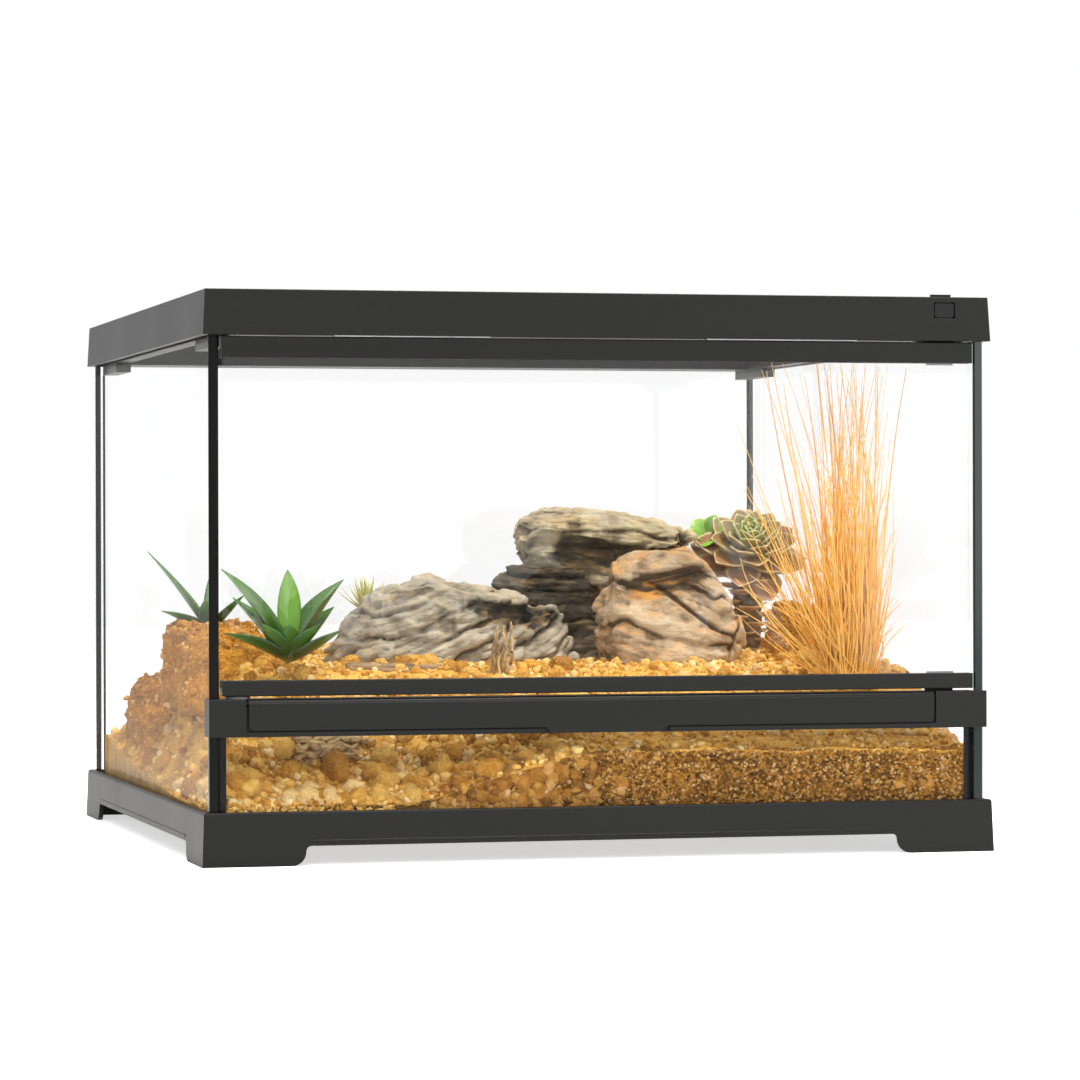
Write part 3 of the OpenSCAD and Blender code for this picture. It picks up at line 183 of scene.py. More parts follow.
def linked(name: str, data: bpy.types.ID) -> bpy.types.Object:
    """Put a mesh, lamp or camera into the scene as an object at the origin."""
    obj = bpy.data.objects.new(name, data)
    bpy.context.scene.collection.objects.link(obj)
    return obj


def new_object(name: str, verts: np.ndarray, faces: list, material: bpy.types.Material,
               soft: bool = True) -> bpy.types.Object:
    """Make a mesh object from points and faces.

    Args:
        name: the object's name.
        verts: places of the vertices, N by 3.
        faces: vertex numbers of each face.
        material: its finish.
        soft: True for smooth shading.

    Returns:
        The linked object.
    """
    mesh = bpy.data.meshes.new(name)
    mesh.from_pydata([tuple(v) for v in verts], [], faces)
    mesh.materials.append(material)
    mesh.polygons.foreach_set("use_smooth", [soft] * len(mesh.polygons))
    mesh.update()
    return linked(name, mesh)


def baked(obj: bpy.types.Object) -> bpy.types.Object:
    """Turn an object's modifiers into plain mesh and remove them."""
    depsgraph = bpy.context.evaluated_depsgraph_get()
    mesh = bpy.data.meshes.new_from_object(obj.evaluated_get(depsgraph))
    obj.modifiers.clear()
    obj.data = mesh
    return obj


def settle(obj: bpy.types.Object, body: str, slot: str, *nodes: str) -> bpy.types.Object:
    """Let a finished piece ride on its body, in place of the CAD nodes that it stands for.

    Args:
        obj: the piece.
        body: the CAD body that carries it.
        slot: the record's material slot; not used.
        nodes: CAD nodes that it replaces.

    Returns:
        The piece.
    """
    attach(obj, body)
    if nodes:
        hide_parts(*nodes)
    LOG.info("%s rides on %s, %d faces", obj.name, body, len(obj.data.polygons))
    return obj


def strip_faces(rings: int, sides: int) -> list:
    """Faces that join rings of points into a tube with closed ends.

    Args:
        rings: number of rings.
        sides: points in each ring.

    Returns:
        The faces.
    """
    faces = []
    for i in range(rings - 1):
        low, high = i * sides, (i + 1) * sides
        faces += [(low + k, low + (k + 1) % sides, high + (k + 1) % sides, high + k) for k in range(sides)]
    return faces + [tuple(reversed(range(sides))), tuple((rings - 1) * sides + k for k in range(sides))]


def add_attribute(obj: bpy.types.Object, name: str, values: np.ndarray) -> None:
    """Store one value for each vertex, for the finish to read."""
    obj.data.attributes.new(name, "FLOAT", "POINT").data.foreach_set("value", values.astype(np.float32))


def points_of(obj: bpy.types.Object) -> tuple[np.ndarray, np.ndarray]:
    """Places and normals of an object's vertices, each N by 3."""
    count = len(obj.data.vertices)
    co = np.zeros(count * 3)
    obj.data.vertices.foreach_get("co", co)
    normals = np.zeros(count * 3)
    obj.data.vertex_normals.foreach_get("vector", normals)
    return co.reshape(-1, 3), normals.reshape(-1, 3)


def move_points(obj: bpy.types.Object, co: np.ndarray) -> None:
    """Put an object's vertices at new places."""
    obj.data.vertices.foreach_set("co", co.ravel())
    obj.data.update()


def remeshed_copy(node: str, name: str, voxel: float, smoothing: int) -> bpy.types.Object:
    """Copy a CAD node as one fine, evenly meshed and smoothed solid.

    Args:
        node: the CAD node.
        name: name of the copy.
        voxel: size of the new faces.
        smoothing: passes that round its corners.

    Returns:
        The copy, without materials.
    """
    mesh = NODES[node].data.copy()
    obj = linked(name, mesh)
    work = bmesh.new()
    work.from_mesh(mesh)
    bmesh.ops.remove_doubles(work, verts=work.verts, dist=1e-6)
    work.to_mesh(mesh)
    work.free()
    remesh = obj.modifiers.new("remesh", "REMESH")
    remesh.mode = "VOXEL"
    remesh.voxel_size = voxel
    rounding = obj.modifiers.new("round", "SMOOTH")
    rounding.factor = 0.5
    rounding.iterations = smoothing
    baked(obj)
    obj.data.materials.clear()
    obj.data.polygons.foreach_set("use_smooth", [True] * len(obj.data.polygons))
    return obj


# ---------------------------------------------------------------- Shader building


class Layout:
    """Adds nodes to a tree, and links or sets their sockets."""

    tree: bpy.types.NodeTree

    def put(self, node: bpy.types.Node, inputs: dict) -> bpy.types.Node:
        """Link or set sockets of a node.

        Args:
            node: the node.
            inputs: a socket to link or a value to set, by the name or number of the node's own socket.

        Returns:
            The node.
        """
        for key, value in inputs.items():
            if isinstance(value, bpy.types.NodeSocket):
                self.tree.links.new(value, node.inputs[key])
            else:
                node.inputs[key].default_value = value
        return node

    def add(self, kind: str, inputs: dict | None = None, **settings: object) -> bpy.types.Node:
        """Add a node.

        Args:
            kind: the node's type.
            inputs: sockets to link or to set, by name or number.
            settings: the node's own properties.

        Returns:
            The node.
        """
        node = self.tree.nodes.new(kind)
        for key, value in settings.items():
            setattr(node, key, value)
        return self.put(node, inputs or {})

    def calc(self, operation: str, a: object, b: object = 0.0) -> bpy.types.NodeSocket:
        """One sum on two values."""
        return self.add("ShaderNodeMath", {0: a, 1: b}, operation=operation).outputs[0]


class Shade(Layout):
    """Lays out the nodes of one material or one shader group."""

    def __init__(self, tree: bpy.types.NodeTree) -> None:
        """Start on an empty tree."""
        self.tree = tree
        tree.nodes.clear()

    def place(self, scale: RGB = (1, 1, 1), turn: RGB = (0, 0, 0)) -> bpy.types.NodeSocket:
        """Object coordinates, turned and then stretched."""
        at = self.add("ShaderNodeTexCoord").outputs["Object"]
        mapped = self.add("ShaderNodeMapping", {"Vector": at, "Rotation": turn, "Scale": scale})
        return mapped.outputs["Vector"]

    def read(self, name: str) -> bpy.types.NodeSocket:
        """A value that the vertices carry."""
        return self.add("ShaderNodeAttribute", attribute_name=name).outputs["Fac"]

    def cloud(self, at: bpy.types.NodeSocket, scale: float, detail: float = 4, rough: float = 0.55,
              warp: float = 0) -> bpy.types.NodeSocket:
        """Noise from 0 to 1 with scale bumps to the metre."""
        return self.add("ShaderNodeTexNoise", {"Vector": at, "Scale": scale, "Detail": detail,
                                               "Roughness": rough, "Distortion": warp}).outputs[0]

    def ramp(self, value: bpy.types.NodeSocket, *stops: tuple[float, RGB]) -> bpy.types.NodeSocket:
        """Colours along a value, as pairs of a place and a colour of 0 to 255."""
        node = self.add("ShaderNodeValToRGB", {"Fac": value})
        while len(node.color_ramp.elements) < len(stops):
            node.color_ramp.elements.new(0.5)
        for element, (place, colour) in zip(node.color_ramp.elements, sorted(stops)):
            element.position = place
            element.color = linear(colour)
        return node.outputs["Color"]

    def span(self, value: bpy.types.NodeSocket, low: float, high: float, to_low: float = 0,
             to_high: float = 1) -> bpy.types.NodeSocket:
        """Carry a value from one range to another, clamped at its ends."""
        return self.add("ShaderNodeMapRange", {"Value": value, "From Min": low, "From Max": high,
                                               "To Min": to_low, "To Max": to_high}).outputs["Result"]

    def mix(self, share: object, a: object, b: object) -> bpy.types.NodeSocket:
        """Mix two colours by a share. A colour is a socket, or red, green and blue of 0 to 255."""
        node = self.add("ShaderNodeMix", {"Factor": share}, data_type="RGBA")
        self.put(node, {key: value if isinstance(value, bpy.types.NodeSocket) else linear(value)
                        for key, value in ((6, a), (7, b))})
        return node.outputs[2]

    def bump(self, height: bpy.types.NodeSocket, depth: float, strength: float = 1.0,
             under: bpy.types.NodeSocket | None = None) -> bpy.types.NodeSocket:
        """Turn a height into a normal, over another normal where there is one."""
        inputs = {"Height": height, "Distance": depth, "Strength": strength}
        if under is not None:
            inputs["Normal"] = under
        return self.add("ShaderNodeBump", inputs).outputs["Normal"]

    def use(self, group: bpy.types.NodeTree, inputs: dict) -> bpy.types.Node:
        """Place a shader group with its own values."""
        return self.add("ShaderNodeGroup", inputs, node_tree=group)

    def surface(self, share: object, first: bpy.types.Node, second: bpy.types.Node) -> None:
        """Let a mix of two shaders be the surface of the material."""
        mixed = self.add("ShaderNodeMixShader", {0: share, 1: first.outputs[0], 2: second.outputs[0]})
        output = next(n for n in self.tree.nodes if n.type == "OUTPUT_MATERIAL")
        self.put(output, {"Surface": mixed.outputs[0]})


def material(name: str) -> tuple[bpy.types.Material, Shade, bpy.types.Node]:
    """Start a material.

    Args:
        name: the material's name.

    Returns:
        The material, its layout and its Principled shader, which is linked to the output.
    """
    mat = bpy.data.materials.new(name)
    mat.use_nodes = True
    shade = Shade(mat.node_tree)
    bsdf = shade.add("ShaderNodeBsdfPrincipled")
    shade.add("ShaderNodeOutputMaterial", {"Surface": bsdf.outputs[0]})
    return mat, shade, bsdf


def shader_group(name: str, inputs: dict[str, str], outputs: dict[str, str]) -> tuple:
    """Start a shader group.

    Args:
        name: the group's name.
        inputs: name and socket type of each input.
        outputs: name and socket type of each output.

    Returns:
        The group, its layout, the sockets that it is given and its output node.
    """
    group = bpy.data.node_groups.new(name, "ShaderNodeTree")
    shade = Shade(group)
    for way, sockets in (("INPUT", inputs), ("OUTPUT", outputs)):
        for socket, kind in sockets.items():
            group.interface.new_socket(socket, in_out=way, socket_type=kind)
    return group, shade, shade.add("NodeGroupInput").outputs, shade.add("NodeGroupOutput")


def moulded_grain() -> bpy.types.NodeTree:
    """Fine texture of a mould and the pale specks of handling."""
    group, s, given, out = shader_group("moulded_grain", {"Vector": VECTOR, "Scale": FLOAT},
                                        {"Height": FLOAT, "Specks": FLOAT, "Cloud": FLOAT})
    specks_per_metre, clouds_per_metre = 520, 14
    at = given["Vector"]
    fine = s.add("ShaderNodeTexNoise", {"Vector": at, "Scale": given["Scale"], "Detail": 3}).outputs[0]
    sparse = s.add("ShaderNodeTexVoronoi", {"Vector": at, "Scale": specks_per_metre}).outputs[0]
    s.put(out, {"Height": fine, "Specks": s.span(sparse, 0.16, 0.05),
                "Cloud": s.cloud(at, clouds_per_metre, 5)})
    return group


def crumbled_earth() -> bpy.types.NodeTree:
    """Colour and height of dry earth in grains of several sizes."""
    group, s, given, out = shader_group(
        "crumbled_earth",
        {"Vector": VECTOR, "Grain": FLOAT, "Dark": COLOUR, "Middle": COLOUR, "Light": COLOUR},
        {"Color": COLOUR, "Height": FLOAT})
    at, grain, patches_per_metre = given["Vector"], given["Grain"], 38
    grains = s.add("ShaderNodeTexVoronoi", {"Vector": at, "Scale": grain})
    dust = s.cloud(at, grain, 6, 0.7)
    tint = s.add("ShaderNodeSeparateColor", {0: grains.outputs["Color"]}).outputs[0]
    broad = s.span(s.cloud(at, patches_per_metre, 4, 0.6), 0.34, 0.66)
    patches = s.mix(broad, given["Dark"], given["Middle"])
    pale = s.calc("MULTIPLY", s.span(tint, 0.3, 1.0), s.span(dust, 0.35, 0.7))
    height = s.calc("ADD", s.calc("MULTIPLY", grains.outputs[0], -0.8), dust)
    s.put(out, {"Color": s.mix(pale, patches, given["Light"]), "Height": height})
    return group


def settled_dust() -> bpy.types.NodeTree:
    """Share of dust on what faces up, in patches."""
    group, s, given, out = shader_group("settled_dust", {"Vector": VECTOR, "Amount": FLOAT}, {"Share": FLOAT})
    patches_per_metre = 75
    normal = s.add("ShaderNodeNewGeometry").outputs["Normal"]
    up = s.add("ShaderNodeSeparateXYZ", {0: normal}).outputs[2]
    patch = s.span(s.cloud(given["Vector"], patches_per_metre, 6, 0.65), 0.42, 0.62)
    share = s.calc("MULTIPLY", s.calc("MULTIPLY", s.span(up, 0.1, 0.8), patch), given["Amount"])
    s.put(out, {"Share": share})
    return group


class Groups:
    """The shader groups, each built once."""

    grain = moulded_grain()
    earth = crumbled_earth()
    dust = settled_dust()


# ---------------------------------------------------------------- Finishes


@dataclass(frozen=True)
class Plastic:
    """Black moulded plastic with a fine texture and softly rounded edges."""

    name: str
    tone: RGB = (11, 11, 10)
    roughness: float = 0.42
    grain: float = 2600
    depth: float = 0.12 * MM
    edge: float = 0.7 * MM
    worn: float = 30
    shine: float = 0.2

    def build(self) -> bpy.types.Material:
        """Make the material."""
        mat, s, bsdf = material(self.name)
        parts = s.use(Groups.grain, {"Vector": s.place(), "Scale": self.grain}).outputs
        base = s.mix(s.calc("MULTIPLY", parts["Specks"], 0.5), self.tone, shaded(self.tone, 1, self.worn))
        base = s.mix(s.span(parts["Cloud"], 0.3, 0.7, 0, 0.25), base, shaded(self.tone, 0.8))
        rounded = s.add("ShaderNodeBevel", {"Radius": self.edge}, samples=4).outputs[0]
        rough = s.span(parts["Cloud"], 0.3, 0.7, self.roughness - 0.02, self.roughness + 0.02)
        s.put(bsdf, {"Base Color": base, "Specular IOR Level": self.shine, "Roughness": rough,
                     "Normal": s.bump(parts["Height"], self.depth, 0.5, rounded)})
        return mat


@dataclass(frozen=True)
class Glass:
    """Clear float glass that lets light fall through and mirrors little."""

    name: str
    tint: RGB = (251, 252, 252)
    quiet: float = 0.94
    ior: float = 1.46

    def build(self) -> bpy.types.Material:
        """Make the material."""
        mat, s, bsdf = material(self.name)
        s.put(bsdf, {"Base Color": linear(self.tint), "Transmission Weight": 1.0, "Roughness": 0.0,
                     "IOR": self.ior})
        path = s.add("ShaderNodeLightPath").outputs
        unseen = s.calc("MAXIMUM", path["Is Shadow Ray"], path["Is Diffuse Ray"])
        clear = s.add("ShaderNodeBsdfTransparent", {"Color": linear(WHITE)})
        s.surface(s.calc("MAXIMUM", unseen, self.quiet), bsdf, clear)
        return mat


@dataclass(frozen=True)
class Gloss:
    """A plain glossy or satin surface with faint clouding: glass edges, silicone, pads and metal."""

    name: str
    tone: RGB
    roughness: float = 0.25
    metallic: float = 0.0
    brushed: bool = False
    shine: float = 0.5

    def build(self) -> bpy.types.Material:
        """Make the material."""
        mat, s, bsdf = material(self.name)
        stretch, clouds_per_metre = ((1, 12, 12), 160) if self.brushed else ((1, 1, 1), 60)
        cloud = s.cloud(s.place(stretch), clouds_per_metre, 5)
        s.put(bsdf, {"Base Color": s.mix(s.span(cloud, 0.3, 0.7), shaded(self.tone, 0.82), self.tone),
                     "Roughness": s.span(cloud, 0.3, 0.7, self.roughness * 0.8, self.roughness * 1.2),
                     "Normal": s.bump(cloud, 0.08 * MM, 0.4), "Metallic": self.metallic,
                     "Specular IOR Level": self.shine})
        return mat


@dataclass(frozen=True)
class Earth:
    """Sand, clay and pebbles, each grain in its own tone, with painted shade on the sides of the sand that
    lie behind the panes.
    """

    name: str
    dark: RGB
    middle: RGB
    light: RGB
    grain: float = 900
    depth: float = 0.6 * MM
    per_piece: float = 0.0

    def build(self) -> bpy.types.Material:
        """Make the material."""
        mat, s, bsdf = material(self.name)
        parts = s.use(Groups.earth, {"Vector": s.place(), "Grain": self.grain, "Dark": linear(self.dark),
                                     "Middle": linear(self.middle), "Light": linear(self.light)}).outputs
        base = parts["Color"]
        if self.per_piece:
            pale = shaded(self.light, 0.65, 0.35 * 255)
            lots = s.ramp(s.read("shade"), (0.0, self.dark), (0.4, self.middle), (0.86, self.light),
                          (0.93, pale))
            base = s.mix(self.per_piece, base, lots)
        # Painted shade: darkens the sides of the sand behind the panes, where less light falls.
        base = s.mix(s.read("painted_side_shade"), base, shaded(self.dark, 0.42))
        s.put(bsdf, {"Base Color": base, "Normal": s.bump(parts["Height"], self.depth, 0.8),
                     "Roughness": 0.92, "Specular IOR Level": 0.25})
        return mat


@dataclass(frozen=True)
class Stone:
    """Weathered rock with layers and dust on top, with painted shade in its hollows, cracks and under
    overhangs, and painted highlight on its ridges.
    """

    name: str
    dark: RGB
    middle: RGB
    light: RGB
    # Colour of the painted shade in hollows, cracks and under overhangs.
    hollow: RGB = (48, 42, 36)
    dust: RGB = (232, 186, 110)
    dusty: float = 0.5
    layers: RGB = (1, 1, 5)
    tilt: float = 0.0
    depth: float = 3.2 * MM

    def build(self) -> bpy.types.Material:
        """Make the material."""
        mat, s, bsdf = material(self.name)
        at = s.place()
        bands = s.cloud(s.place(self.layers, (0, self.tilt, 0)), 60, 7, 0.62, 0.4)
        base = s.ramp(bands, (0.32, self.dark), (0.5, self.middle), (0.68, self.light))
        base = s.mix(s.span(s.cloud(at, 26, 6, 0.6), 0.4, 0.65, 0, 0.55), base, self.light)
        base = s.mix(s.span(s.cloud(at, 900, 3), 0.6, 0.72, 0, 0.35), base, self.dark)
        inside = s.read("hollow")
        # Painted shade: hollows, cracks and undersides of overhangs darken towards the hollow colour.
        base = s.mix(s.span(inside, 0.08, 0.62, 0, 0.94), base, self.hollow)
        # Painted highlight: ridges and raised places, where the hollow value is below 0, turn paler.
        base = s.mix(s.span(inside, 0.0, -0.5, 0, 0.45), base, shaded(self.light, 1, 18))
        dust = s.use(Groups.dust, {"Vector": at, "Amount": self.dusty}).outputs["Share"]
        height = s.calc("ADD", bands, s.calc("MULTIPLY", s.cloud(at, 700, 5, 0.7), 0.5))
        s.put(bsdf, {"Base Color": s.mix(dust, base, self.dust), "Normal": s.bump(height, self.depth),
                     "Roughness": 0.85, "Specular IOR Level": 0.3})
        return mat


@dataclass(frozen=True)
class Leaf:
    """A waxy leaf: colours along its length, a pale or rusty rim, and light that comes through."""

    name: str
    foot: RGB
    middle: RGB
    tip: RGB
    rim: RGB
    glow: float = 0.25
    roughness: float = 0.38
    rim_share: float = 0.7
    young: RGB = (120, 176, 40)

    def build(self) -> bpy.types.Material:
        """Make the material."""
        mat, s, bsdf = material(self.name)
        fleck = s.cloud(s.place(), 420, 5)
        length = s.calc("ADD", s.read("along"), s.span(fleck, 0.3, 0.7, -0.08, 0.08))
        base = s.ramp(length, (0.05, self.foot), (0.55, self.middle), (0.95, self.tip))
        base = s.mix(s.span(s.read("shade"), 0, 1, 0, 0.88), base, self.young)
        base = s.mix(s.span(s.read("rim"), 0.72, 1.0, 0, self.rim_share), base, self.rim)
        s.put(bsdf, {"Base Color": base, "Normal": s.bump(fleck, 0.4 * MM, 0.35),
                     "Roughness": s.span(fleck, 0.3, 0.7, self.roughness - 0.08, self.roughness + 0.1),
                     "Subsurface Weight": self.glow, "Subsurface Radius": (4 * MM, 6 * MM, MM),
                     "Subsurface Scale": 1.0})
        return mat


@dataclass(frozen=True)
class Fibre:
    """Straw and weathered wood, streaked along the piece."""

    name: str
    dark: RGB
    middle: RGB
    light: RGB
    stretch: RGB = (1, 1, 0.06)
    scale: float = 600
    depth: float = 0.6 * MM
    roughness: float = 0.7

    def build(self) -> bpy.types.Material:
        """Make the material."""
        mat, s, bsdf = material(self.name)
        streaks = s.cloud(s.place(self.stretch), self.scale, 5, 0.6)
        base = s.ramp(streaks, (0.3, self.dark), (0.5, self.middle), (0.7, self.light))
        base = s.mix(s.span(s.read("shade"), 0.0, 1.0, 0, 0.7), base, self.light)
        s.put(bsdf, {"Base Color": base, "Normal": s.bump(streaks, self.depth, 0.8),
                     "Roughness": self.roughness})
        return mat


# ---------------------------------------------------------------- Geometry Nodes building


class Nodes(Layout):
    """Lays out one Geometry Nodes tree, with named inputs that a modifier sets."""

    def __init__(self, name: str, inputs: dict[str, str]) -> None:
        """Start a tree that takes geometry and the named inputs."""
        self.tree = bpy.data.node_groups.new(name, "GeometryNodeTree")
        face = self.tree.interface
        face.new_socket("Geometry", in_out="INPUT", socket_type="NodeSocketGeometry")
        self.ids = {key: face.new_socket(key, in_out="INPUT", socket_type=kind).identifier
                    for key, kind in inputs.items()}
        face.new_socket("Geometry", in_out="OUTPUT", socket_type="NodeSocketGeometry")
        self.given = self.add("NodeGroupInput").outputs
        self.out = self.add("NodeGroupOutput")

    def vector(self, operation: str, a: object, b: object = (0, 0, 0)) -> bpy.types.NodeSocket:
        """One sum on two vectors."""
        return self.add("ShaderNodeVectorMath", {0: a, 1: b}, operation=operation).outputs[0]

    def scaled(self, a: object, share: object) -> bpy.types.NodeSocket:
        """A vector times a number."""
        return self.add("ShaderNodeVectorMath", {0: a, "Scale": share}, operation="SCALE").outputs[0]

    def read(self, name: str, kind: str = "FLOAT") -> bpy.types.NodeSocket:
        """A stored value of the points."""
        return self.add("GeometryNodeInputNamedAttribute", {"Name": name}, data_type=kind).outputs[0]

    def chance(self, low: RGB, high: RGB) -> bpy.types.NodeSocket:
        """A vector between two others for each point, chosen by the input named Seed."""
        return self.add("FunctionNodeRandomValue", {0: low, 1: high, "Seed": self.given["Seed"]},
                        data_type="FLOAT_VECTOR").outputs[0]

    def finish(self, geometry: bpy.types.NodeSocket) -> None:
        """End the tree in real mesh with the material that the modifier names."""
        real = self.add("GeometryNodeRealizeInstances", {0: geometry}).outputs[0]
        soft = self.add("GeometryNodeSetShadeSmooth", {0: real}).outputs[0]
        dressed = self.add("GeometryNodeSetMaterial", {"Geometry": soft, "Material": self.given["Material"]})
        self.put(self.out, {0: dressed.outputs[0]})

    def apply(self, obj: bpy.types.Object, values: dict) -> bpy.types.Object:
        """Run the tree on an object with these inputs and keep the result as plain mesh."""
        modifier = obj.modifiers.new(self.tree.name, "NODES")
        modifier.node_group = self.tree
        for name, value in values.items():
            modifier[self.ids[name]] = value
        baked(obj)
        obj.data.materials.clear()
        obj.data.materials.append(values["Material"])
        return obj


def point_cloud(name: str, places: np.ndarray, numbers: dict[str, np.ndarray]) -> bpy.types.Object:
    """Loose vertices that carry values, for a tree to put pieces on.

    Args:
        name: the object's name.
        places: N by 3.
        numbers: values for each point: N numbers, or N by 3.

    Returns:
        The object.
    """
    mesh = bpy.data.meshes.new(name)
    mesh.from_pydata([tuple(p) for p in places], [], [])
    for key, values in numbers.items():
        kind, part = ("FLOAT_VECTOR", "vector") if values.ndim == 2 else ("FLOAT", "value")
        mesh.attributes.new(key, kind, "POINT").data.foreach_set(part, values.astype(np.float32).ravel())
    return linked(name, mesh)


def stone_tree() -> Nodes:
    """A tree that puts a lumpy stone on each point, one of five shapes, turned and stretched by chance."""
    n = Nodes("stones_on_points", {"Detail": WHOLE, "Lumps": FLOAT, "Seed": WHOLE, "Material": FINISH})
    shapes, full_turn = 5, 6.28
    ball = n.add("GeometryNodeMeshIcoSphere", {"Radius": 0.5, "Subdivisions": n.given["Detail"]}).outputs[0]
    kinds = n.add("GeometryNodeJoinGeometry")
    spot = n.add("GeometryNodeInputPosition").outputs[0]
    for kind in range(shapes):
        wobble = n.add("ShaderNodeTexNoise", {"Vector": spot, "W": 3.7 * kind, "Scale": 2.2, "Detail": 2},
                       noise_dimensions="4D").outputs[0]
        stretch = n.calc("MULTIPLY", n.calc("SUBTRACT", wobble, 0.5), n.given["Lumps"])
        shaped = n.add("GeometryNodeSetPosition", {"Geometry": ball, "Offset": n.scaled(spot, stretch)})
        held = n.add("GeometryNodeGeometryToInstance", {0: shaped.outputs[0]})
        n.put(kinds, {0: held.outputs[0]})
    turn = n.chance((0, 0, 0), (full_turn, full_turn, full_turn))
    girth = n.chance((0.7, 0.7, 0.6), (1.2, 1.1, 1.0))
    placed = n.add("GeometryNodeInstanceOnPoints", {
        "Points": n.given["Geometry"], "Instance": kinds.outputs[0], "Pick Instance": True, "Rotation": turn,
        "Scale": n.scaled(girth, n.read("size"))})
    n.finish(placed.outputs[0])
    return n


def straw_tree() -> Nodes:
    """A tree that draws a tapered, bowed straw from each point to its own tip."""
    n = Nodes("straws_on_points", {"Steps": WHOLE, "Material": FINISH})
    line = n.add("GeometryNodeCurvePrimitiveLine", {"Start": (0, 0, 0), "End": (0, 0, 1)}).outputs[0]
    line = n.add("GeometryNodeResampleCurve", {"Curve": line, "Count": n.given["Steps"]}).outputs[0]
    placed = n.add("GeometryNodeInstanceOnPoints", {"Points": n.given["Geometry"], "Instance": line})
    real = n.add("GeometryNodeRealizeInstances", {0: placed.outputs[0]}).outputs[0]
    t = n.add("GeometryNodeSplineParameter").outputs["Factor"]
    arch = n.calc("SINE", n.calc("MULTIPLY", t, math.pi))
    pulls = [n.scaled(n.read(name, "FLOAT_VECTOR"), share)
             for name, share in (("reach", t), ("bow", arch), ("curl", n.calc("POWER", t, 3.0)))]
    offset = n.vector("ADD", n.vector("ADD", pulls[0], pulls[1]), pulls[2])
    offset = n.vector("SUBTRACT", offset, n.scaled((0, 0, 1), t))
    bent = n.add("GeometryNodeSetPosition", {"Geometry": real, "Offset": offset}).outputs[0]
    taper = n.calc("SUBTRACT", 1.0, n.calc("MULTIPLY", n.calc("POWER", t, 1.6), 0.7))
    girth = n.calc("MULTIPLY", n.read("thick"), taper)
    ring = n.add("GeometryNodeCurvePrimitiveCircle", {"Resolution": 4, "Radius": 1.0}).outputs[0]
    tube = n.add("GeometryNodeCurveToMesh", {"Curve": bent, "Profile Curve": ring, "Scale": girth,
                                             "Fill Caps": True})
    n.finish(tube.outputs[0])
    return n


def woven_tree() -> Nodes:
    """A tree that weaves wires both ways over a rectangle."""
    n = Nodes("woven_wires", {"Width": FLOAT, "Depth": FLOAT, "Across": WHOLE, "Along": WHOLE, "Wire": FLOAT,
                              "Material": FINISH})
    both = n.add("GeometryNodeJoinGeometry")
    wire = n.given["Wire"]
    ring = n.add("GeometryNodeCurvePrimitiveCircle", {"Resolution": 4, "Radius": wire}).outputs[0]
    x_way, y_way = ("X", n.given["Width"], n.given["Across"]), ("Y", n.given["Depth"], n.given["Along"])
    for (run_key, run, steps), (side_key, side, rows), sign in ((x_way, y_way, 1.0), (y_way, x_way, -1.0)):
        gap = n.calc("DIVIDE", side, n.calc("SUBTRACT", rows, 1))
        start = n.add("ShaderNodeCombineXYZ", {run_key: n.calc("MULTIPLY", run, -0.5),
                                               side_key: n.calc("MULTIPLY", side, -0.5)}).outputs[0]
        step = n.add("ShaderNodeCombineXYZ", {side_key: gap}).outputs[0]
        line = n.add("GeometryNodeMeshLine", {"Count": rows, "Start Location": start, "Offset": step})
        index = n.add("GeometryNodeInputIndex").outputs[0]
        named = {"Geometry": line.outputs[0], "Name": "row", "Value": index}
        row = n.add("GeometryNodeStoreNamedAttribute", named, data_type="INT", domain="POINT").outputs[0]
        end = n.add("ShaderNodeCombineXYZ", {run_key: run}).outputs[0]
        line = n.add("GeometryNodeCurvePrimitiveLine", {"Start": (0, 0, 0), "End": end}).outputs[0]
        line = n.add("GeometryNodeResampleCurve", {"Curve": line, "Count": steps}).outputs[0]
        placed = n.add("GeometryNodeInstanceOnPoints", {"Points": row, "Instance": line}).outputs[0]
        real = n.add("GeometryNodeRealizeInstances", {0: placed}).outputs[0]
        spot = n.add("GeometryNodeSplineParameter").outputs["Index"]
        parity = n.calc("MODULO", n.calc("ADD", spot, n.read("row", "INT")), 2.0)
        lift = n.calc("MULTIPLY", n.calc("SUBTRACT", parity, 0.5), n.calc("MULTIPLY", wire, 2.2 * sign))
        up = n.add("ShaderNodeCombineXYZ", {"Z": lift}).outputs[0]
        waved = n.add("GeometryNodeSetPosition", {"Geometry": real, "Offset": up}).outputs[0]
        tube = n.add("GeometryNodeCurveToMesh", {"Curve": waved, "Profile Curve": ring, "Fill Caps": True})
        n.put(both, {0: tube.outputs[0]})
    n.finish(both.outputs[0])
    return n


# ---------------------------------------------------------------- Studio


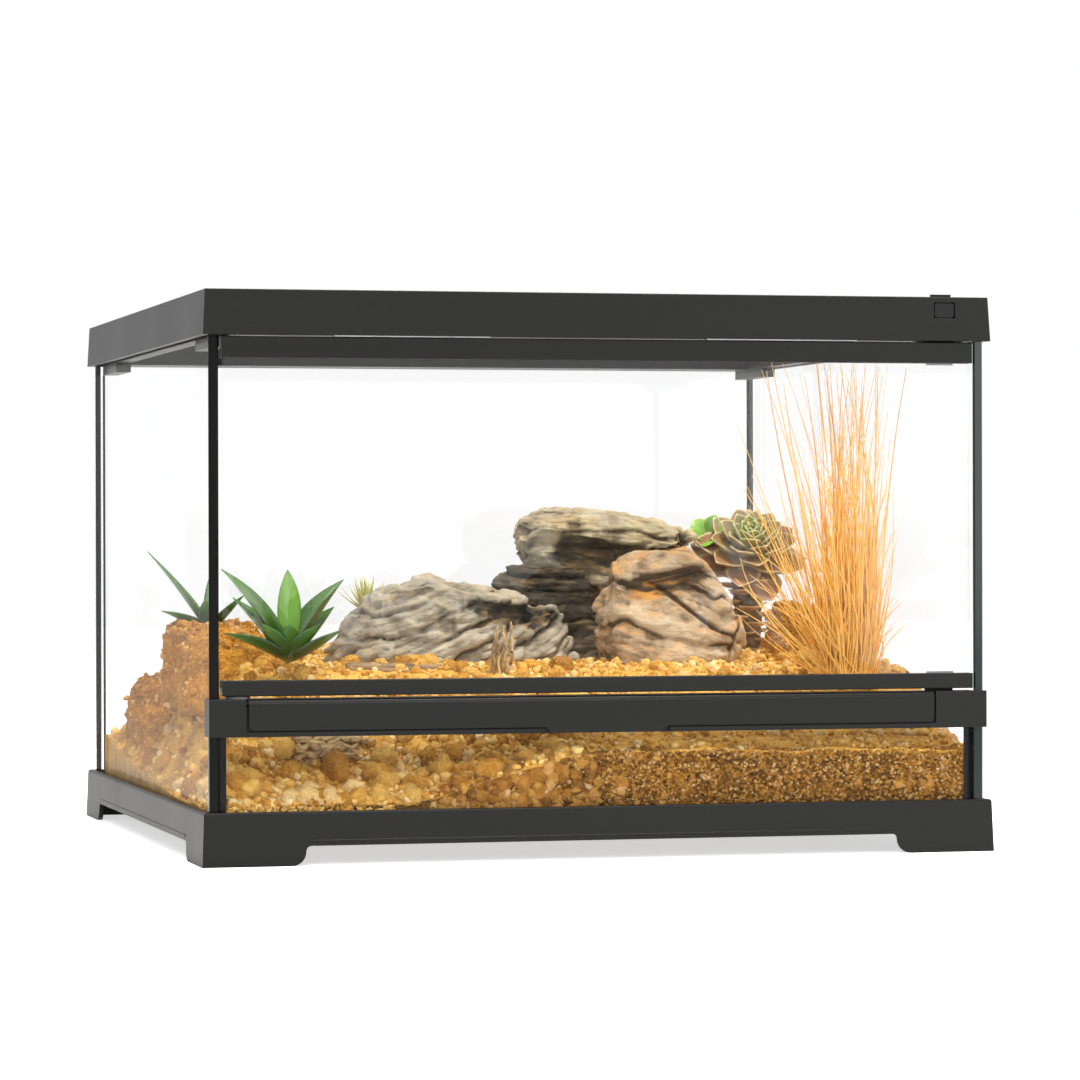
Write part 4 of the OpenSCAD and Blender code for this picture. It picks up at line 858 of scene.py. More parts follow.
@dataclass
class Studio:
    """Camera, lamps, floor and surroundings."""

    spot: RGB = (-0.6113, -2.5165, 0.1819)
    yaw: float = VIEW_YAW
    pitch: float = math.radians(-0.056)
    roll: float = math.radians(0.142)
    lens: float = 140.42
    clip_end: float = 50
    floor_half: float = 6.0
    floor_tone: RGB = (246, 246, 246)
    floor_glow: float = 0.62
    fill: float = 0.44

    def camera(self) -> None:
        """Put the camera at the photograph's viewing angle."""
        data = bpy.data.cameras.new("camera")
        data.sensor_width = 36
        data.lens = self.lens
        data.clip_end = self.clip_end
        obj = linked("camera", data)
        obj.location = self.spot
        obj.rotation_euler = (math.pi / 2 + self.pitch, self.roll, -self.yaw)
        bpy.context.scene.camera = obj

    def lamp(self, name: str, spot: RGB, aim: RGB, size: float, power: float, tint: RGB = WHITE) -> None:
        """Add a soft square lamp.

        Args:
            name: the lamp's name.
            spot: its place.
            aim: the point that it faces.
            size: its side.
            power: its power in watts.
            tint: its colour.
        """
        data = bpy.data.lights.new(name, "AREA")
        data.size = size
        data.energy = power
        data.color = linear(tint)[:3]
        obj = linked(name, data)
        obj.location = spot
        obj.rotation_euler = (Vector(aim) - Vector(spot)).to_track_quat("-Z", "Y").to_euler()

    def seen(self, s: Shade) -> bpy.types.NodeSocket:
        """1 for what the camera sees, also in glass and in gloss."""
        path = s.add("ShaderNodeLightPath").outputs
        direct = s.calc("MAXIMUM", path["Is Camera Ray"], path["Is Transmission Ray"])
        return s.calc("MAXIMUM", direct, path["Is Glossy Ray"])

    def world(self) -> None:
        """White surroundings, plain light on the object."""
        world = bpy.data.worlds.new("surroundings")
        world.use_nodes = True
        s = Shade(world.node_tree)
        strength = s.calc("MAXIMUM", self.fill, self.seen(s))
        back = s.add("ShaderNodeBackground", {"Color": linear(WHITE), "Strength": strength})
        s.add("ShaderNodeOutputWorld", {"Surface": back.outputs[0]})
        bpy.context.scene.world = world

    def floor(self) -> None:
        """A plain pale floor that keeps the object's shadow."""
        mat, s, bsdf = material("pale_floor")
        s.put(bsdf, {"Base Color": linear(self.floor_tone), "Roughness": 0.9, "Specular IOR Level": 0.1})
        glow = s.add("ShaderNodeEmission", {"Color": linear(WHITE), "Strength": self.floor_glow})
        lit = s.add("ShaderNodeAddShader", {0: bsdf.outputs[0], 1: glow.outputs[0]})
        s.surface(self.seen(s), bsdf, lit)
        h = self.floor_half
        corners = np.array([(-h, -h, 0), (h, -h, 0), (h, h, 0), (-h, h, 0)])
        new_object("floor", corners, [(0, 1, 2, 3)], mat)

    def build(self) -> None:
        """Set up the whole studio."""
        self.camera()
        self.world()
        self.floor()
        self.lamp("top_box", (0.25, -0.25, 1.5), (0, 0, 0.1), 0.42, 38, (255, 252, 246))
        self.lamp("front_box", (-0.9, -2.3, 1.5), (0, 0, 0.12), 1.1, 42)
        self.lamp("right_box", (1.5, -2.4, 0.7), (0.1, 0, 0.2), 1.3, 18)
        bpy.context.scene.view_settings.view_transform = "Standard"


# ---------------------------------------------------------------- Casework


def dress(node: str, finish: bpy.types.Material) -> None:
    """Give a CAD node one finish."""
    slots = NODES[node].data.materials
    slots.clear()
    slots.append(finish)


@dataclass
class Casework:
    """Moulded plastic, pins, magnets and the other small CAD pieces."""

    finishes: dict[str, object] = field(default_factory=lambda: {
        "frame_plastic": Plastic("frame_plastic"),
        "flap_plastic": Plastic("flap_plastic", (9, 9, 9), 0.46),
        "button_plastic": Plastic("button_plastic", (12, 12, 12), 0.4, edge=0.4 * MM),
        "lid_plastic": Plastic("lid_plastic", (9, 9, 9), 0.5),
        "washer_plastic": Gloss("washer_plastic", (60, 60, 60), 0.4),
        "silicone": Gloss("silicone", (5, 5, 5), 0.22, shine=0.15),
        "pale_pad": Gloss("pale_pad", (246, 246, 242), 0.7),
        "steel": Gloss("steel", (198, 199, 203), 0.28, 1.0, True),
        "striker_steel": Gloss("striker_steel", (150, 151, 155), 0.4, 1.0, True),
        "screen_steel": Gloss("screen_steel", (88, 89, 92), 0.42, 1.0),
        "magnet": Gloss("magnet", (120, 121, 124), 0.3, 1.0),
    })

    def build(self) -> bpy.types.Material:
        """Dress every CAD node whose slot has a finish here, and give the finish of the lid's mesh."""
        ready = {slot: finish.build() for slot, finish in self.finishes.items()}
        for part in FRAME["record"]["subparts"]:
            slot = part["material_slot"]
            if slot in ready:
                dress(part["node"], ready[slot])
                LOG.info("%s is %s", part["node"], slot)
        return ready["screen_steel"]


@dataclass
class GlassWork:
    """The panes, with ground edges, and the dark ends of the side panes."""

    arris: float = 0.6 * MM
    film: float = 0.25 * MM
    bead: float = 1.5 * MM
    behind_frame: float = 10.7 * MM
    behind_flap: float = 0.7 * MM
    wrap_high: float = 1.2 * MM
    wrap_low: float = 4.6 * MM
    rear_inset: float = 1.5 * MM

    def pane(self, node: str, body: str, slot: str, glass: bpy.types.Material) -> None:
        """Replace one rectangular CAD pane by a pane with ground and polished edges.

        Args:
            node: the CAD pane.
            body: the body that it rides on.
            slot: its material slot.
            glass: the finish.
        """
        low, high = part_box(node)
        corners = np.array([(x, y, z) for x in (low.x, high.x) for y in (low.y, high.y)
                            for z in (low.z, high.z)])
        faces = [(0, 1, 3, 2), (4, 6, 7, 5), (0, 4, 5, 1), (2, 3, 7, 6), (0, 2, 6, 4), (1, 5, 7, 3)]
        obj = new_object(node.replace("glass", "pane"), corners, faces, glass, soft=False)
        bevel = obj.modifiers.new("arris", "BEVEL")
        bevel.width = self.arris
        bevel.segments = 1
        settle(baked(obj), body, slot, node)

    def end_film(self, name: str, across: tuple[float, float], front: float, upright: tuple[float, float],
                 finish: bpy.types.Material, wrap: float) -> None:
        """A thin dark coat round an upright end of a side pane.

        Args:
            name: the piece's name.
            across: its left and right side.
            front: its front face.
            upright: its lower and upper end.
            finish: its material.
            wrap: how far the coat reaches back along both faces of the pane.
        """
        a, t = self.arris, self.film
        (left, right), back, slope = across, front + wrap, front + self.arris
        outline = [(left - t, back), (left - t, slope), (left + a, front - t), (right - a, front - t),
                   (right + t, slope), (right + t, back), (right - t, back), (right - t, slope),
                   (right - a, front + t), (left + a, front + t), (left + t, slope), (left + t, back)]
        verts = np.array([(x, y, z) for z in upright for x, y in outline])
        settle(new_object(name, verts, strip_faces(2, len(outline)), finish, soft=False), TANK, "silicone")

    def rear_beads(self, finish: bpy.types.Material) -> None:
        """Two slim beads of silicone in the rear corners.

        Args:
            finish: their material.
        """
        low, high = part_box("rear_silicone")
        verts, faces = [], []
        for x, way in ((low.x, 1), (high.x, -1)):
            corner = [(x, high.y), (x, high.y - self.bead), (x + way * self.bead, high.y)][::way]
            faces += [tuple(v + len(verts) for v in face) for face in strip_faces(2, 3)]
            verts += [(a, b, z) for z in (low.z, high.z) for a, b in corner]
        obj = new_object("rear_beads", np.array(verts), faces, finish, soft=False)
        settle(obj, TANK, "silicone", "rear_silicone")

    def build(self) -> None:
        """Make all panes and the coats on their ends."""
        fixed = Glass("fixed_glass").build()
        door = Glass("door_glass", (251, 253, 252)).build()
        for node in ("floor_glass", "left_glass", "right_glass", "lower_front_glass"):
            self.pane(node, TANK, "fixed_glass", fixed)
        self.pane("door_glass", "door", "door_glass", door)
        dress("back_glass", fixed)
        black = Gloss("edge_black", (4, 4, 4), 0.3, shine=0.12).build()
        teal = Gloss("edge_teal", (8, 26, 24), 0.12, shine=0.3).build()
        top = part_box("top_frame")[0].z + self.behind_frame
        above_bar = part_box("vent_flap")[1].z + self.behind_flap
        below_bar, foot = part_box("front_bar")[0].z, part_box("base_frame")[1].z
        for side, finish in (("left", black), ("right", teal)):
            low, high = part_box(f"{side}_glass")
            full, inner = (low.x, high.x), (low.x + MM, high.x - MM)
            self.end_film(f"{side}_end_high", full, low.y, (above_bar, top), finish, self.wrap_high)
            self.end_film(f"{side}_end_low", full, low.y, (foot, below_bar), finish, self.wrap_low)
            self.end_film(f"{side}_end_rear", inner, high.y - self.rear_inset, (foot, top), black, MM)
        self.rear_beads(black)


@dataclass
class ScreenLid:
    """The woven mesh of the screen lid."""

    pitch: float = 4.2 * MM
    wire: float = 0.3 * MM

    def build(self, finish: bpy.types.Material) -> None:
        """Weave the mesh in the place of the CAD mesh."""
        low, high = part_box("lid_mesh")
        size = high - low
        obj = point_cloud("woven_mesh", np.zeros((1, 3)), {})
        across, along = (int(run / self.pitch) + 1 for run in (size.x, size.y))
        woven_tree().apply(obj, {"Width": size.x, "Depth": size.y, "Across": across, "Along": along,
                                 "Wire": self.wire, "Material": finish})
        co, _ = points_of(obj)
        move_points(obj, co + np.array((low + high) / 2))
        settle(obj, "lid", "screen_steel", "lid_mesh")


# ---------------------------------------------------------------- Sand


class Side(Enum):
    """A pane of the tank, by the way that leads to it from the middle."""

    FRONT = (0, -1)
    BACK = (0, 1)
    RIGHT = (1, 0)


@dataclass
class SandBed:
    """The sand with its crumbs, pebbles and the grains that show at the panes."""

    deep: float = 84 * MM
    front_right: float = 41 * MM
    front_left: float = 13 * MM
    side: float = 10 * MM
    side_rise: float = 24 * MM
    run: float = 130 * MM
    side_run: float = 46 * MM
    rear_rise: float = 5 * MM
    corner_drop: float = 22 * MM
    cell: float = 1.65 * MM
    set_back: float = 2.2 * MM
    stone_back: float = 3.2 * MM
    skin: float = 0.1 * MM
    play: float = 0.6 * MM
    levels: int = 10

    def __post_init__(self) -> None:
        """Take the room inside the panes from the frame."""
        self.low, self.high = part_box("substrate")
        self.floor = self.low.z

    def height(self, x: np.ndarray, y: np.ndarray) -> np.ndarray:
        """Level of the sand at places inside the tank."""
        half = self.high.x
        at_side = x + half
        deep = (self.deep + self.rear_rise * smooth((y + 0.04) / 0.2)
                - self.corner_drop * smooth((0.09 - at_side) / 0.08) * smooth((y + 0.02) / 0.18))
        front = self.front_left + (self.front_right - self.front_left) * smooth((x + 0.13) / 0.13)
        side = self.side + self.side_rise * np.maximum(0, (y + 0.12) / (half + 0.12)) ** 1.5
        from_front = front + (deep - front) * smooth((y + half) / self.run)
        from_side = side + (deep - side) * smooth(at_side / self.side_run)
        return self.floor + np.minimum(from_front, from_side)

    def rough_height(self, x: np.ndarray, y: np.ndarray) -> np.ndarray:
        """Level of the sand with its hummocks and lumps."""
        p = np.stack([x, y, np.zeros_like(x)], axis=1)
        hills = 3.0 * MM * fractal(p, 0.034, 3, 3)
        lumps = 3.4 * MM * (0.55 - cells(p, 0.012, 5)) * smooth(0.6 + 1.2 * noise(p / 0.03, 9))
        small = 1.5 * MM * (0.5 - cells(p, 0.0052, 15))
        fine = 0.7 * MM * fractal(p, 0.004, 11, 2)
        return np.minimum(self.height(x, y) + hills + lumps + small + fine, self.high.z)

    def set_in(self, ring: np.ndarray) -> tuple[np.ndarray, np.ndarray]:
        """How far the sand's side lies behind the panes, and how much painted shade it takes.

        Args:
            ring: places on one level of the side, N by 3.

        Returns:
            The distance, which leaves room for stones in the middle of the front, and the share of painted
            shade from 0 to 1.
        """
        at_left = smooth((-ring[:, 0] - self.high.x + 0.004) / 0.003)
        stony = smooth(1.6 - np.abs(ring[:, 0] + 0.02) / 0.06) * (ring[:, 1] < -0.2)
        uneven = 1 + 0.4 * fractal(ring, 0.006, 21, 2)
        # Painted shade on the sand's sides, less of it at the left pane.
        return (self.set_back + self.stone_back * stony) * uneven * (1 - 0.9 * at_left), 0.85 - 0.6 * at_left

    def bed(self, finish: bpy.types.Material) -> None:
        """The body of the sand, with its sides against the panes."""
        n = int((self.high.x - self.low.x) / self.cell)
        line = np.linspace(self.low.x + self.skin, self.high.x - self.skin, n)
        x, y = (grid.ravel() for grid in np.meshgrid(line, line))
        top = np.stack([x, y, self.rough_height(x, y)], axis=1)
        faces = [(j * n + i, j * n + i + 1, (j + 1) * n + i + 1, (j + 1) * n + i)
                 for j in range(n - 1) for i in range(n - 1)]
        rim = (list(range(n)) + [j * n + n - 1 for j in range(1, n)]
               + [(n - 1) * n + i for i in range(n - 2, -1, -1)] + [j * n for j in range(n - 2, 0, -1)])
        verts, edge, painted_side_shade = [top], top[rim], [np.zeros(len(top))]
        count, upper = len(rim), rim
        for k in range(self.levels):
            ring = edge.copy()
            ring[:, 2] = edge[:, 2] + (self.floor - edge[:, 2]) * (k + 1) / self.levels
            depth, share = self.set_in(ring)
            inside = (self.high.x - depth)[:, None]
            ring[:, :2] = np.clip(ring[:, :2], -inside, inside)
            verts.append(ring)
            painted_side_shade.append(share)
            lower = [len(top) + k * count + i for i in range(count)]
            faces += [(upper[(i + 1) % count], upper[i], lower[i], lower[(i + 1) % count])
                      for i in range(count)]
            upper = lower
        faces.append(tuple(reversed(upper)))
        obj = new_object("sand_bed", np.vstack(verts), faces, finish)
        # Painted shade for the sides of the sand, none on its top.
        add_attribute(obj, "painted_side_shade", np.concatenate(painted_side_shade))
        settle(obj, TANK, "sand", "substrate")

    def scatter(self, name: str, count: int, sizes: tuple[float, float], seed: int, detail: int,
                finish: bpy.types.Material, sink: float = 0.15, area: tuple | None = None,
                skew: float = 2.2) -> None:
        """Strew crumbs or stones on the sand.

        Args:
            name: the piece's name.
            count: how many.
            sizes: smallest and largest size, in millimetres.
            seed: choice of places.
            detail: roundness of each one.
            finish: its material.
            sink: share of its size that lies under the surface.
            area: least and most X and Y that they lie within, or None for everywhere.
            skew: how much the small ones outnumber the large ones.
        """
        r = np.random.default_rng(seed)
        least, most = (s * MM for s in sizes)
        size = least + (most - least) * r.random(count) ** skew
        reach = self.high.x - size / 2 - self.play
        x0, x1, y0, y1 = area or (-1, 1, -1, 1)
        x = np.clip(x0 + (x1 - x0) * r.random(count), -reach, reach)
        y = np.clip(y0 + (y1 - y0) * r.random(count), -reach, reach)
        if area is None:
            x, y = (r.random(count) * 2 - 1) * reach, (r.random(count) * 2 - 1) * reach
        z = self.rough_height(x, y) + size * (0.5 - sink) * 0.7
        stones = point_cloud(name, np.stack([x, y, z], axis=1), {"size": size, "shade": r.random(count)})
        self.stones.apply(stones, {"Detail": detail, "Lumps": 1.5, "Seed": seed, "Material": finish})
        self.pressed(stones)

    def pressed(self, obj: bpy.types.Object) -> None:
        """Flatten grains where they touch the panes, and let them ride on the tank."""
        co, _ = points_of(obj)
        room = self.high.x - self.skin
        co[:, :2] = np.clip(co[:, :2], -room, room)
        co[:, 2] = np.maximum(co[:, 2], self.floor + self.skin)
        move_points(obj, co)
        settle(obj, TANK, "sand")

    def packed(self, name: str, side: Side, count: int, sizes: tuple[float, float], seed: int,
               finish: bpy.types.Material, span: tuple[float, float] = (-1, 1), detail: int = 1,
               levels: tuple[float, float] = (0, 1), behind: float = 0.0) -> None:
        """Press grains against a pane, under the surface of the sand.

        Args:
            name: the piece's name.
            side: the pane.
            count: how many.
            sizes: smallest and largest size, in millimetres.
            seed: choice of places.
            finish: its material.
            span: the stretch of the pane that they lie on, from -1 to 1.
            detail: roundness of each one.
            levels: lowest and highest place, as shares of the sand's depth there.
            behind: how far they lie behind the pane.
        """
        r = np.random.default_rng(seed)
        least, most = (s * MM for s in sizes)
        size = least + (most - least) * r.random(count) ** 2
        wall = self.high.x - size * 0.53 - behind
        run = (span[0] + (span[1] - span[0]) * r.random(count)) * (self.high.x - size / 2 - 0.4 * MM)
        way_x, way_y = side.value
        x, y = wall * way_x + run * abs(way_y), wall * way_y + run * abs(way_x)
        top = self.height(x, y) - size * 0.1
        foot = self.floor + size * 0.4
        z = foot + (top - foot) * (levels[0] + (levels[1] - levels[0]) * r.random(count))
        keep = top > self.floor + size * 0.6
        grains = point_cloud(name, np.stack([x, y, z], axis=1)[keep],
                             {"size": size[keep], "shade": r.random(count)[keep]})
        self.stones.apply(grains, {"Detail": detail, "Lumps": 1.2, "Seed": seed, "Material": finish})
        self.pressed(grains)

    def build(self) -> None:
        """Make the sand."""
        self.stones = stone_tree()
        sand = Earth("sand", (168, 110, 30), (226, 170, 70), (250, 220, 140), 700, 1.2 * MM).build()
        crumb = Earth("crumbs", (164, 104, 26), (228, 172, 72), (252, 222, 144), 900, MM, 0.62).build()
        clod = Earth("clods", (140, 84, 20), (206, 146, 50), (246, 206, 116), 620, 2 * MM, 0.5).build()
        # Painted shade: a darker copy of the sand's grains, for those pressed against the front and right
        # panes, which get less light.
        pebble_in_shade = Earth("pebbles", (74, 42, 8), (136, 88, 24), (190, 138, 56), 800, 1.2 * MM, 0.7).build()
        stone = Earth("stones", (96, 58, 14), (156, 104, 34), (206, 156, 78), 560, 1.6 * MM, 0.55).build()
        pale = Earth("pale_stone", (206, 188, 150), (232, 220, 190), (248, 240, 220), 500, 0.6 * MM).build()
        front = Side.FRONT
        self.packed("pale_stones", front, 3, (9, 13), 120, pale, (0.9, 0.97), 3, (0.5, 0.8))
        self.bed(sand)
        left_front, left_side = (-0.22, -0.01, -0.22, -0.12), (-0.215, -0.15, -0.2, 0.2)
        before_rocks = (-0.12, 0.2, -0.13, -0.03)
        self.scatter("crumbs_fine", 7000, (1.6, 4.0), 101, 1, crumb)
        self.scatter("crumbs_coarse", 1900, (3.0, 7.0), 102, 2, crumb, 0.3)
        self.scatter("clods_front", 190, (6, 19), 103, 3, clod, 0.34, left_front, 2.6)
        self.scatter("crumbs_left_front", 1500, (2.2, 7), 104, 2, crumb, 0.2, left_front)
        self.scatter("clods_side", 130, (6, 17), 105, 3, clod, 0.34, left_side, 2.4)
        self.scatter("clods_middle", 90, (6, 15), 106, 3, clod, 0.4, before_rocks, 2.4)
        self.packed("front_grains_right", front, 5200, (1.8, 3.4), 111, pebble_in_shade, (0.0, 1.0))
        self.packed("front_grains_middle", front, 1500, (2.0, 4.2), 112, pebble_in_shade, (-0.6, 0.05),
                    behind=2.4 * MM)
        self.packed("front_grains_left", front, 700, (1.8, 3.6), 117, crumb, (-1.0, -0.55))
        self.packed("front_pebbles", front, 210, (6, 15), 113, stone, (-0.46, 0.26), 3, (0.1, 1.0))
        self.packed("front_pebbles_few", front, 36, (5, 9), 118, pebble_in_shade, (0.24, 0.8), 3)
        self.packed("corner_pebbles", front, 46, (5, 11), 114, stone, (0.82, 1.0), 3, (0.35, 1.0))
        self.packed("right_grains", Side.RIGHT, 3400, (2.2, 5), 115, pebble_in_shade)
        self.packed("back_grains", Side.BACK, 3600, (2.2, 6), 116, crumb)


# ---------------------------------------------------------------- Rocks and clay


@dataclass
class Crack:
    """A split in a rock, along a plane, cut in and darkened with painted shade; above is True where the rock
    overhangs it, and the painted shade then reaches under the overhang.
    """

    at: RGB
    across: RGB
    width: float = 1.6 * MM
    depth: float = 5 * MM
    reach: float = 60 * MM
    above: bool = False


@dataclass
class Rock:
    """One stone: the CAD solid's room, chiselled and broken into ledges, hollows and cracks."""

    node: str
    slot: str
    finish: object
    voxel: float = 1.15 * MM
    rounding: int = 6
    facets: int = 18
    facet_depth: float = 0.12
    layer: float = 10 * MM
    layer_way: RGB = (0.0, 0.0, 1.0)
    ledge: float = 3.5 * MM
    broad: float = 3.0 * MM
    fine: float = 1.7 * MM
    grit: float = 0.6 * MM
    pits: float = 0.0
    seed: int = 1
    cracks: tuple[Crack, ...] = ()
    square: float = 0.4
    crest: tuple[tuple[float, float], ...] = ()
    belly: tuple[tuple[float, float], ...] = ()
    room: tuple[RGB, RGB] | None = None
    name: str = ""

    def chisel(self, p: np.ndarray) -> np.ndarray:
        """Cut flat facets on the smooth solid.

        Args:
            p: its points.

        Returns:
            The points, with what stood past each facet's plane laid on it.
        """
        r = np.random.default_rng(self.seed)
        centre = (p.min(axis=0) + p.max(axis=0)) / 2
        half = (p.max(axis=0) - p.min(axis=0)) / 2
        q = (p - centre) / half
        squareness = np.linalg.norm(q, axis=1) / np.maximum((np.abs(q) ** 5).sum(axis=1) ** 0.2, 1e-6)
        q *= (squareness ** self.square)[:, None]
        for _ in range(self.facets):
            way = r.normal(size=3) * np.array([1, 1, 0.8])
            way /= np.linalg.norm(way)
            reach = (q @ way).max() * (1 - self.facet_depth * (0.35 + 0.65 * r.random()))
            past = np.maximum(q @ way - reach, 0)
            q -= (past * 0.9)[:, None] * way
        return centre + q * half

    def outlined(self, p: np.ndarray) -> np.ndarray:
        """Bring the stone's upper and lower outline, as seen from the front, to its crest and belly.

        Args:
            p: its points.

        Returns:
            The points, moved up or down.
        """
        if not self.crest:
            return p
        run = p[:, 0] * math.cos(VIEW_YAW) - p[:, 1] * math.sin(VIEW_YAW)
        run = 2 * (run - run.min()) / (run.max() - run.min()) - 1
        low, high = p[:, 2].min(), p[:, 2].max()
        edges = np.linspace(-1, 1, 25)
        places, tops, feet = [], [], []
        for start, end in zip(edges[:-1], edges[1:]):
            slab = p[(run >= start) & (run <= end), 2]
            if len(slab) > 8:
                places.append((start + end) / 2)
                tops.append(slab.max())
                feet.append(slab.min())
        top, foot = np.interp(run, places, tops), np.interp(run, places, feet)
        share = (p[:, 2] - foot) / (top - foot)
        crest = np.interp(run, *np.array(self.crest).T)
        belly = np.interp(run, *np.array(self.belly).T)
        moved = p.copy()
        moved[:, 2] = low + (high - low) * (belly + (crest - belly) * share)
        return moved

    def strata(self, p: np.ndarray, size: float, seed: int) -> tuple[np.ndarray, np.ndarray]:
        """Broken layers: how far each stands out, and the gap beneath it, which takes painted shade, both
        from 0 to 1.
        """
        way = np.array(self.layer_way) / np.linalg.norm(self.layer_way)
        warp = 0.75 * fractal(p, 0.055, seed, 3) + 0.22 * fractal(p, 0.014, seed + 4, 2)
        s = p @ way / size + warp
        level = np.floor(s)
        part = s - level
        along, back = np.floor(p[:, 0] / (size * 3.2) + 0.37 * level), np.floor(p[:, 1] / (size * 4))
        block = np.stack([level, along, back], axis=1)
        lot = 0.5 + 0.5 * lattice(block.astype(np.int64), seed)
        out = smooth(part / 0.12) * smooth((1 - part) / 0.3)
        gap = smooth((0.14 - part) / 0.14) * smooth(0.5 + 1.3 * noise(p / 0.03, seed + 9))
        return out * (0.3 + 0.7 * lot), gap

    def relief(self, p: np.ndarray) -> tuple[np.ndarray, np.ndarray]:
        """How far the surface stands out, and how deep in a hollow it lies.

        Args:
            p: places on the chiselled solid.

        Returns:
            The offset along the normal, and the hollow from -1 to 1: above 0 it is painted shade, below 0
            painted highlight.
        """
        wide, wide_gap = self.strata(p, self.layer, self.seed)
        thin, thin_gap = self.strata(p, self.layer * 0.36, self.seed + 50)
        share = smooth(0.6 + 0.8 * noise(p / 0.04, self.seed + 8))
        offset = self.ledge * share * (wide - 0.5 - 0.45 * wide_gap) + 0.3 * self.ledge * (thin - 0.5) * share
        # Painted shade in the gaps under the layers.
        hollow = 0.85 * wide_gap * share + 0.4 * thin_gap * share
        offset += self.broad * fractal(p, 0.045, self.seed + 15, 3)
        fine = fractal(p, 0.010, self.seed + 20, 3)
        ridge, crumb = noise(p / 0.012, self.seed + 31), noise(p / 0.005, self.seed + 32)
        sharp = 0.4 - np.abs(ridge) - 0.5 * np.abs(crumb)
        offset += self.fine * (fine + sharp) + self.grit * fractal(p, 0.0035, self.seed + 33, 2)
        # Painted highlight on sharp ridges and bumps.
        hollow -= 0.35 * fine + 0.3 * sharp
        if self.pits:
            where = smooth(0.1 + 1.6 * noise(p / 0.035, 77))
            pit = smooth((0.4 - cells(p, 0.012, self.seed + 40)) / 0.25) * where
            offset -= self.pits * pit
            # Painted shade in the pits.
            hollow += 0.8 * pit
        for crack in self.cracks:
            way = np.array(crack.across) / np.linalg.norm(crack.across)
            local = p - np.array(crack.at)
            apart = local @ way + 2.2 * MM * fractal(p, 0.026, 51, 3)
            near = smooth(1.2 - np.linalg.norm(local, axis=1) / crack.reach)
            split = np.exp(-(apart / crack.width) ** 2) * near
            if crack.above:
                under = smooth(-apart / crack.width) * smooth(1 + apart / (7 * crack.width))
                split = np.maximum(split, under * near)
            offset -= crack.depth * split
            # Painted shade in the crack and, where it overhangs, the painted shadow beneath it.
            hollow += 1.1 * split
        # Painted shade in low places and painted highlight on raised ones.
        hollow += 0.7 * np.clip(-offset / (0.8 * self.ledge + 2 * MM), -0.4, 1)
        return offset, np.clip(hollow, -1, 1)

    def fitted(self, p: np.ndarray) -> np.ndarray:
        """Stretch points to fill the room of the CAD node, or the room that is set."""
        low, high = (np.array(v) for v in self.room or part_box(self.node))
        start, end = p.min(axis=0), p.max(axis=0)
        return low + (p - start) / (end - start) * (high - low)

    def build(self) -> bpy.types.Object:
        """Carve the stone and dress it."""
        obj = remeshed_copy(self.node, self.name or self.node + "_carved", self.voxel, self.rounding)
        move_points(obj, self.fitted(self.outlined(self.chisel(self.fitted(points_of(obj)[0])))))
        co, normal = points_of(obj)
        offset, hollow = self.relief(co)
        move_points(obj, co + normal * offset[:, None])
        # The hollow value carries painted shade and painted highlight to the finish.
        add_attribute(obj, "hollow", hollow)
        obj.data.materials.append(self.finish.build())
        settle(obj, TANK, self.slot, *(() if self.room else (self.node,)))
        return obj


@dataclass
class NetWood:
    """A piece of cactus wood: strands that cross and leave long holes, round an upright or lying core."""

    name: str
    node: str
    finish: bpy.types.Material
    foot: RGB
    way: RGB
    length: float
    radius: float
    strands: int = 9
    strand: float = 1.25 * MM
    taper: float = 0.3
    ragged: float = 0.4
    seed: int = 4

    def build(self) -> None:
        """Lay the strands and join them."""
        r = np.random.default_rng(self.seed)
        axis = np.array(self.way) / np.linalg.norm(self.way)
        side = np.cross(axis, [0.3, 1.0, 0.2])
        side /= np.linalg.norm(side)
        other = np.cross(axis, side)
        steps, sides = 22, 6
        turn = np.linspace(0, 2 * math.pi, sides, endpoint=False)
        verts, faces, base = [], [], 0
        for k in range(self.strands * 2):
            hand = 1 if k % 2 else -1
            start = 2 * math.pi * (k // 2) / self.strands + 0.25 * r.normal()
            reach = self.length * (1 - self.ragged * r.random() ** 1.5)
            s = np.linspace(0, reach, steps)
            part = s / self.length
            twist = start + hand * (1.25 * part + 0.22 * np.sin(5.5 * math.pi * part + k))
            swell = self.radius * (1 - self.taper * part) * (1 + 0.10 * np.sin(9 * part + 2 * k))
            swell *= 1 + 0.25 * np.maximum(0, 1 - 4 * part) * (r.random() + 0.3)
            centre = (np.array(self.foot) + s[:, None] * axis + (swell * np.cos(twist))[:, None] * side
                      + (swell * np.sin(twist))[:, None] * other)
            ahead = np.gradient(centre, axis=0)
            ahead /= np.linalg.norm(ahead, axis=1, keepdims=True)
            across = np.cross(ahead, axis + 0.01)
            across /= np.linalg.norm(across, axis=1, keepdims=True)
            lift = np.cross(across, ahead)
            thick = self.strand * (0.75 + 0.5 * r.random()) * (1 - 0.55 * (s / reach) ** 3)
            thick *= 1 + 0.3 * np.cos(11 * math.pi * part + k)
            round_it = (np.cos(turn)[None, :, None] * across[:, None, :]
                        + 0.8 * np.sin(turn)[None, :, None] * lift[:, None, :])
            verts.append((centre[:, None, :] + thick[:, None, None] * round_it).reshape(-1, 3))
            faces += [tuple(v + base for v in f) for f in strip_faces(steps, sides)]
            base += steps * sides
        obj = new_object(self.name, np.vstack(verts), faces, self.finish)
        add_attribute(obj, "shade", np.repeat(r.random(self.strands * 2), steps * sides))
        settle(obj, TANK, "cactus_wood", self.node)


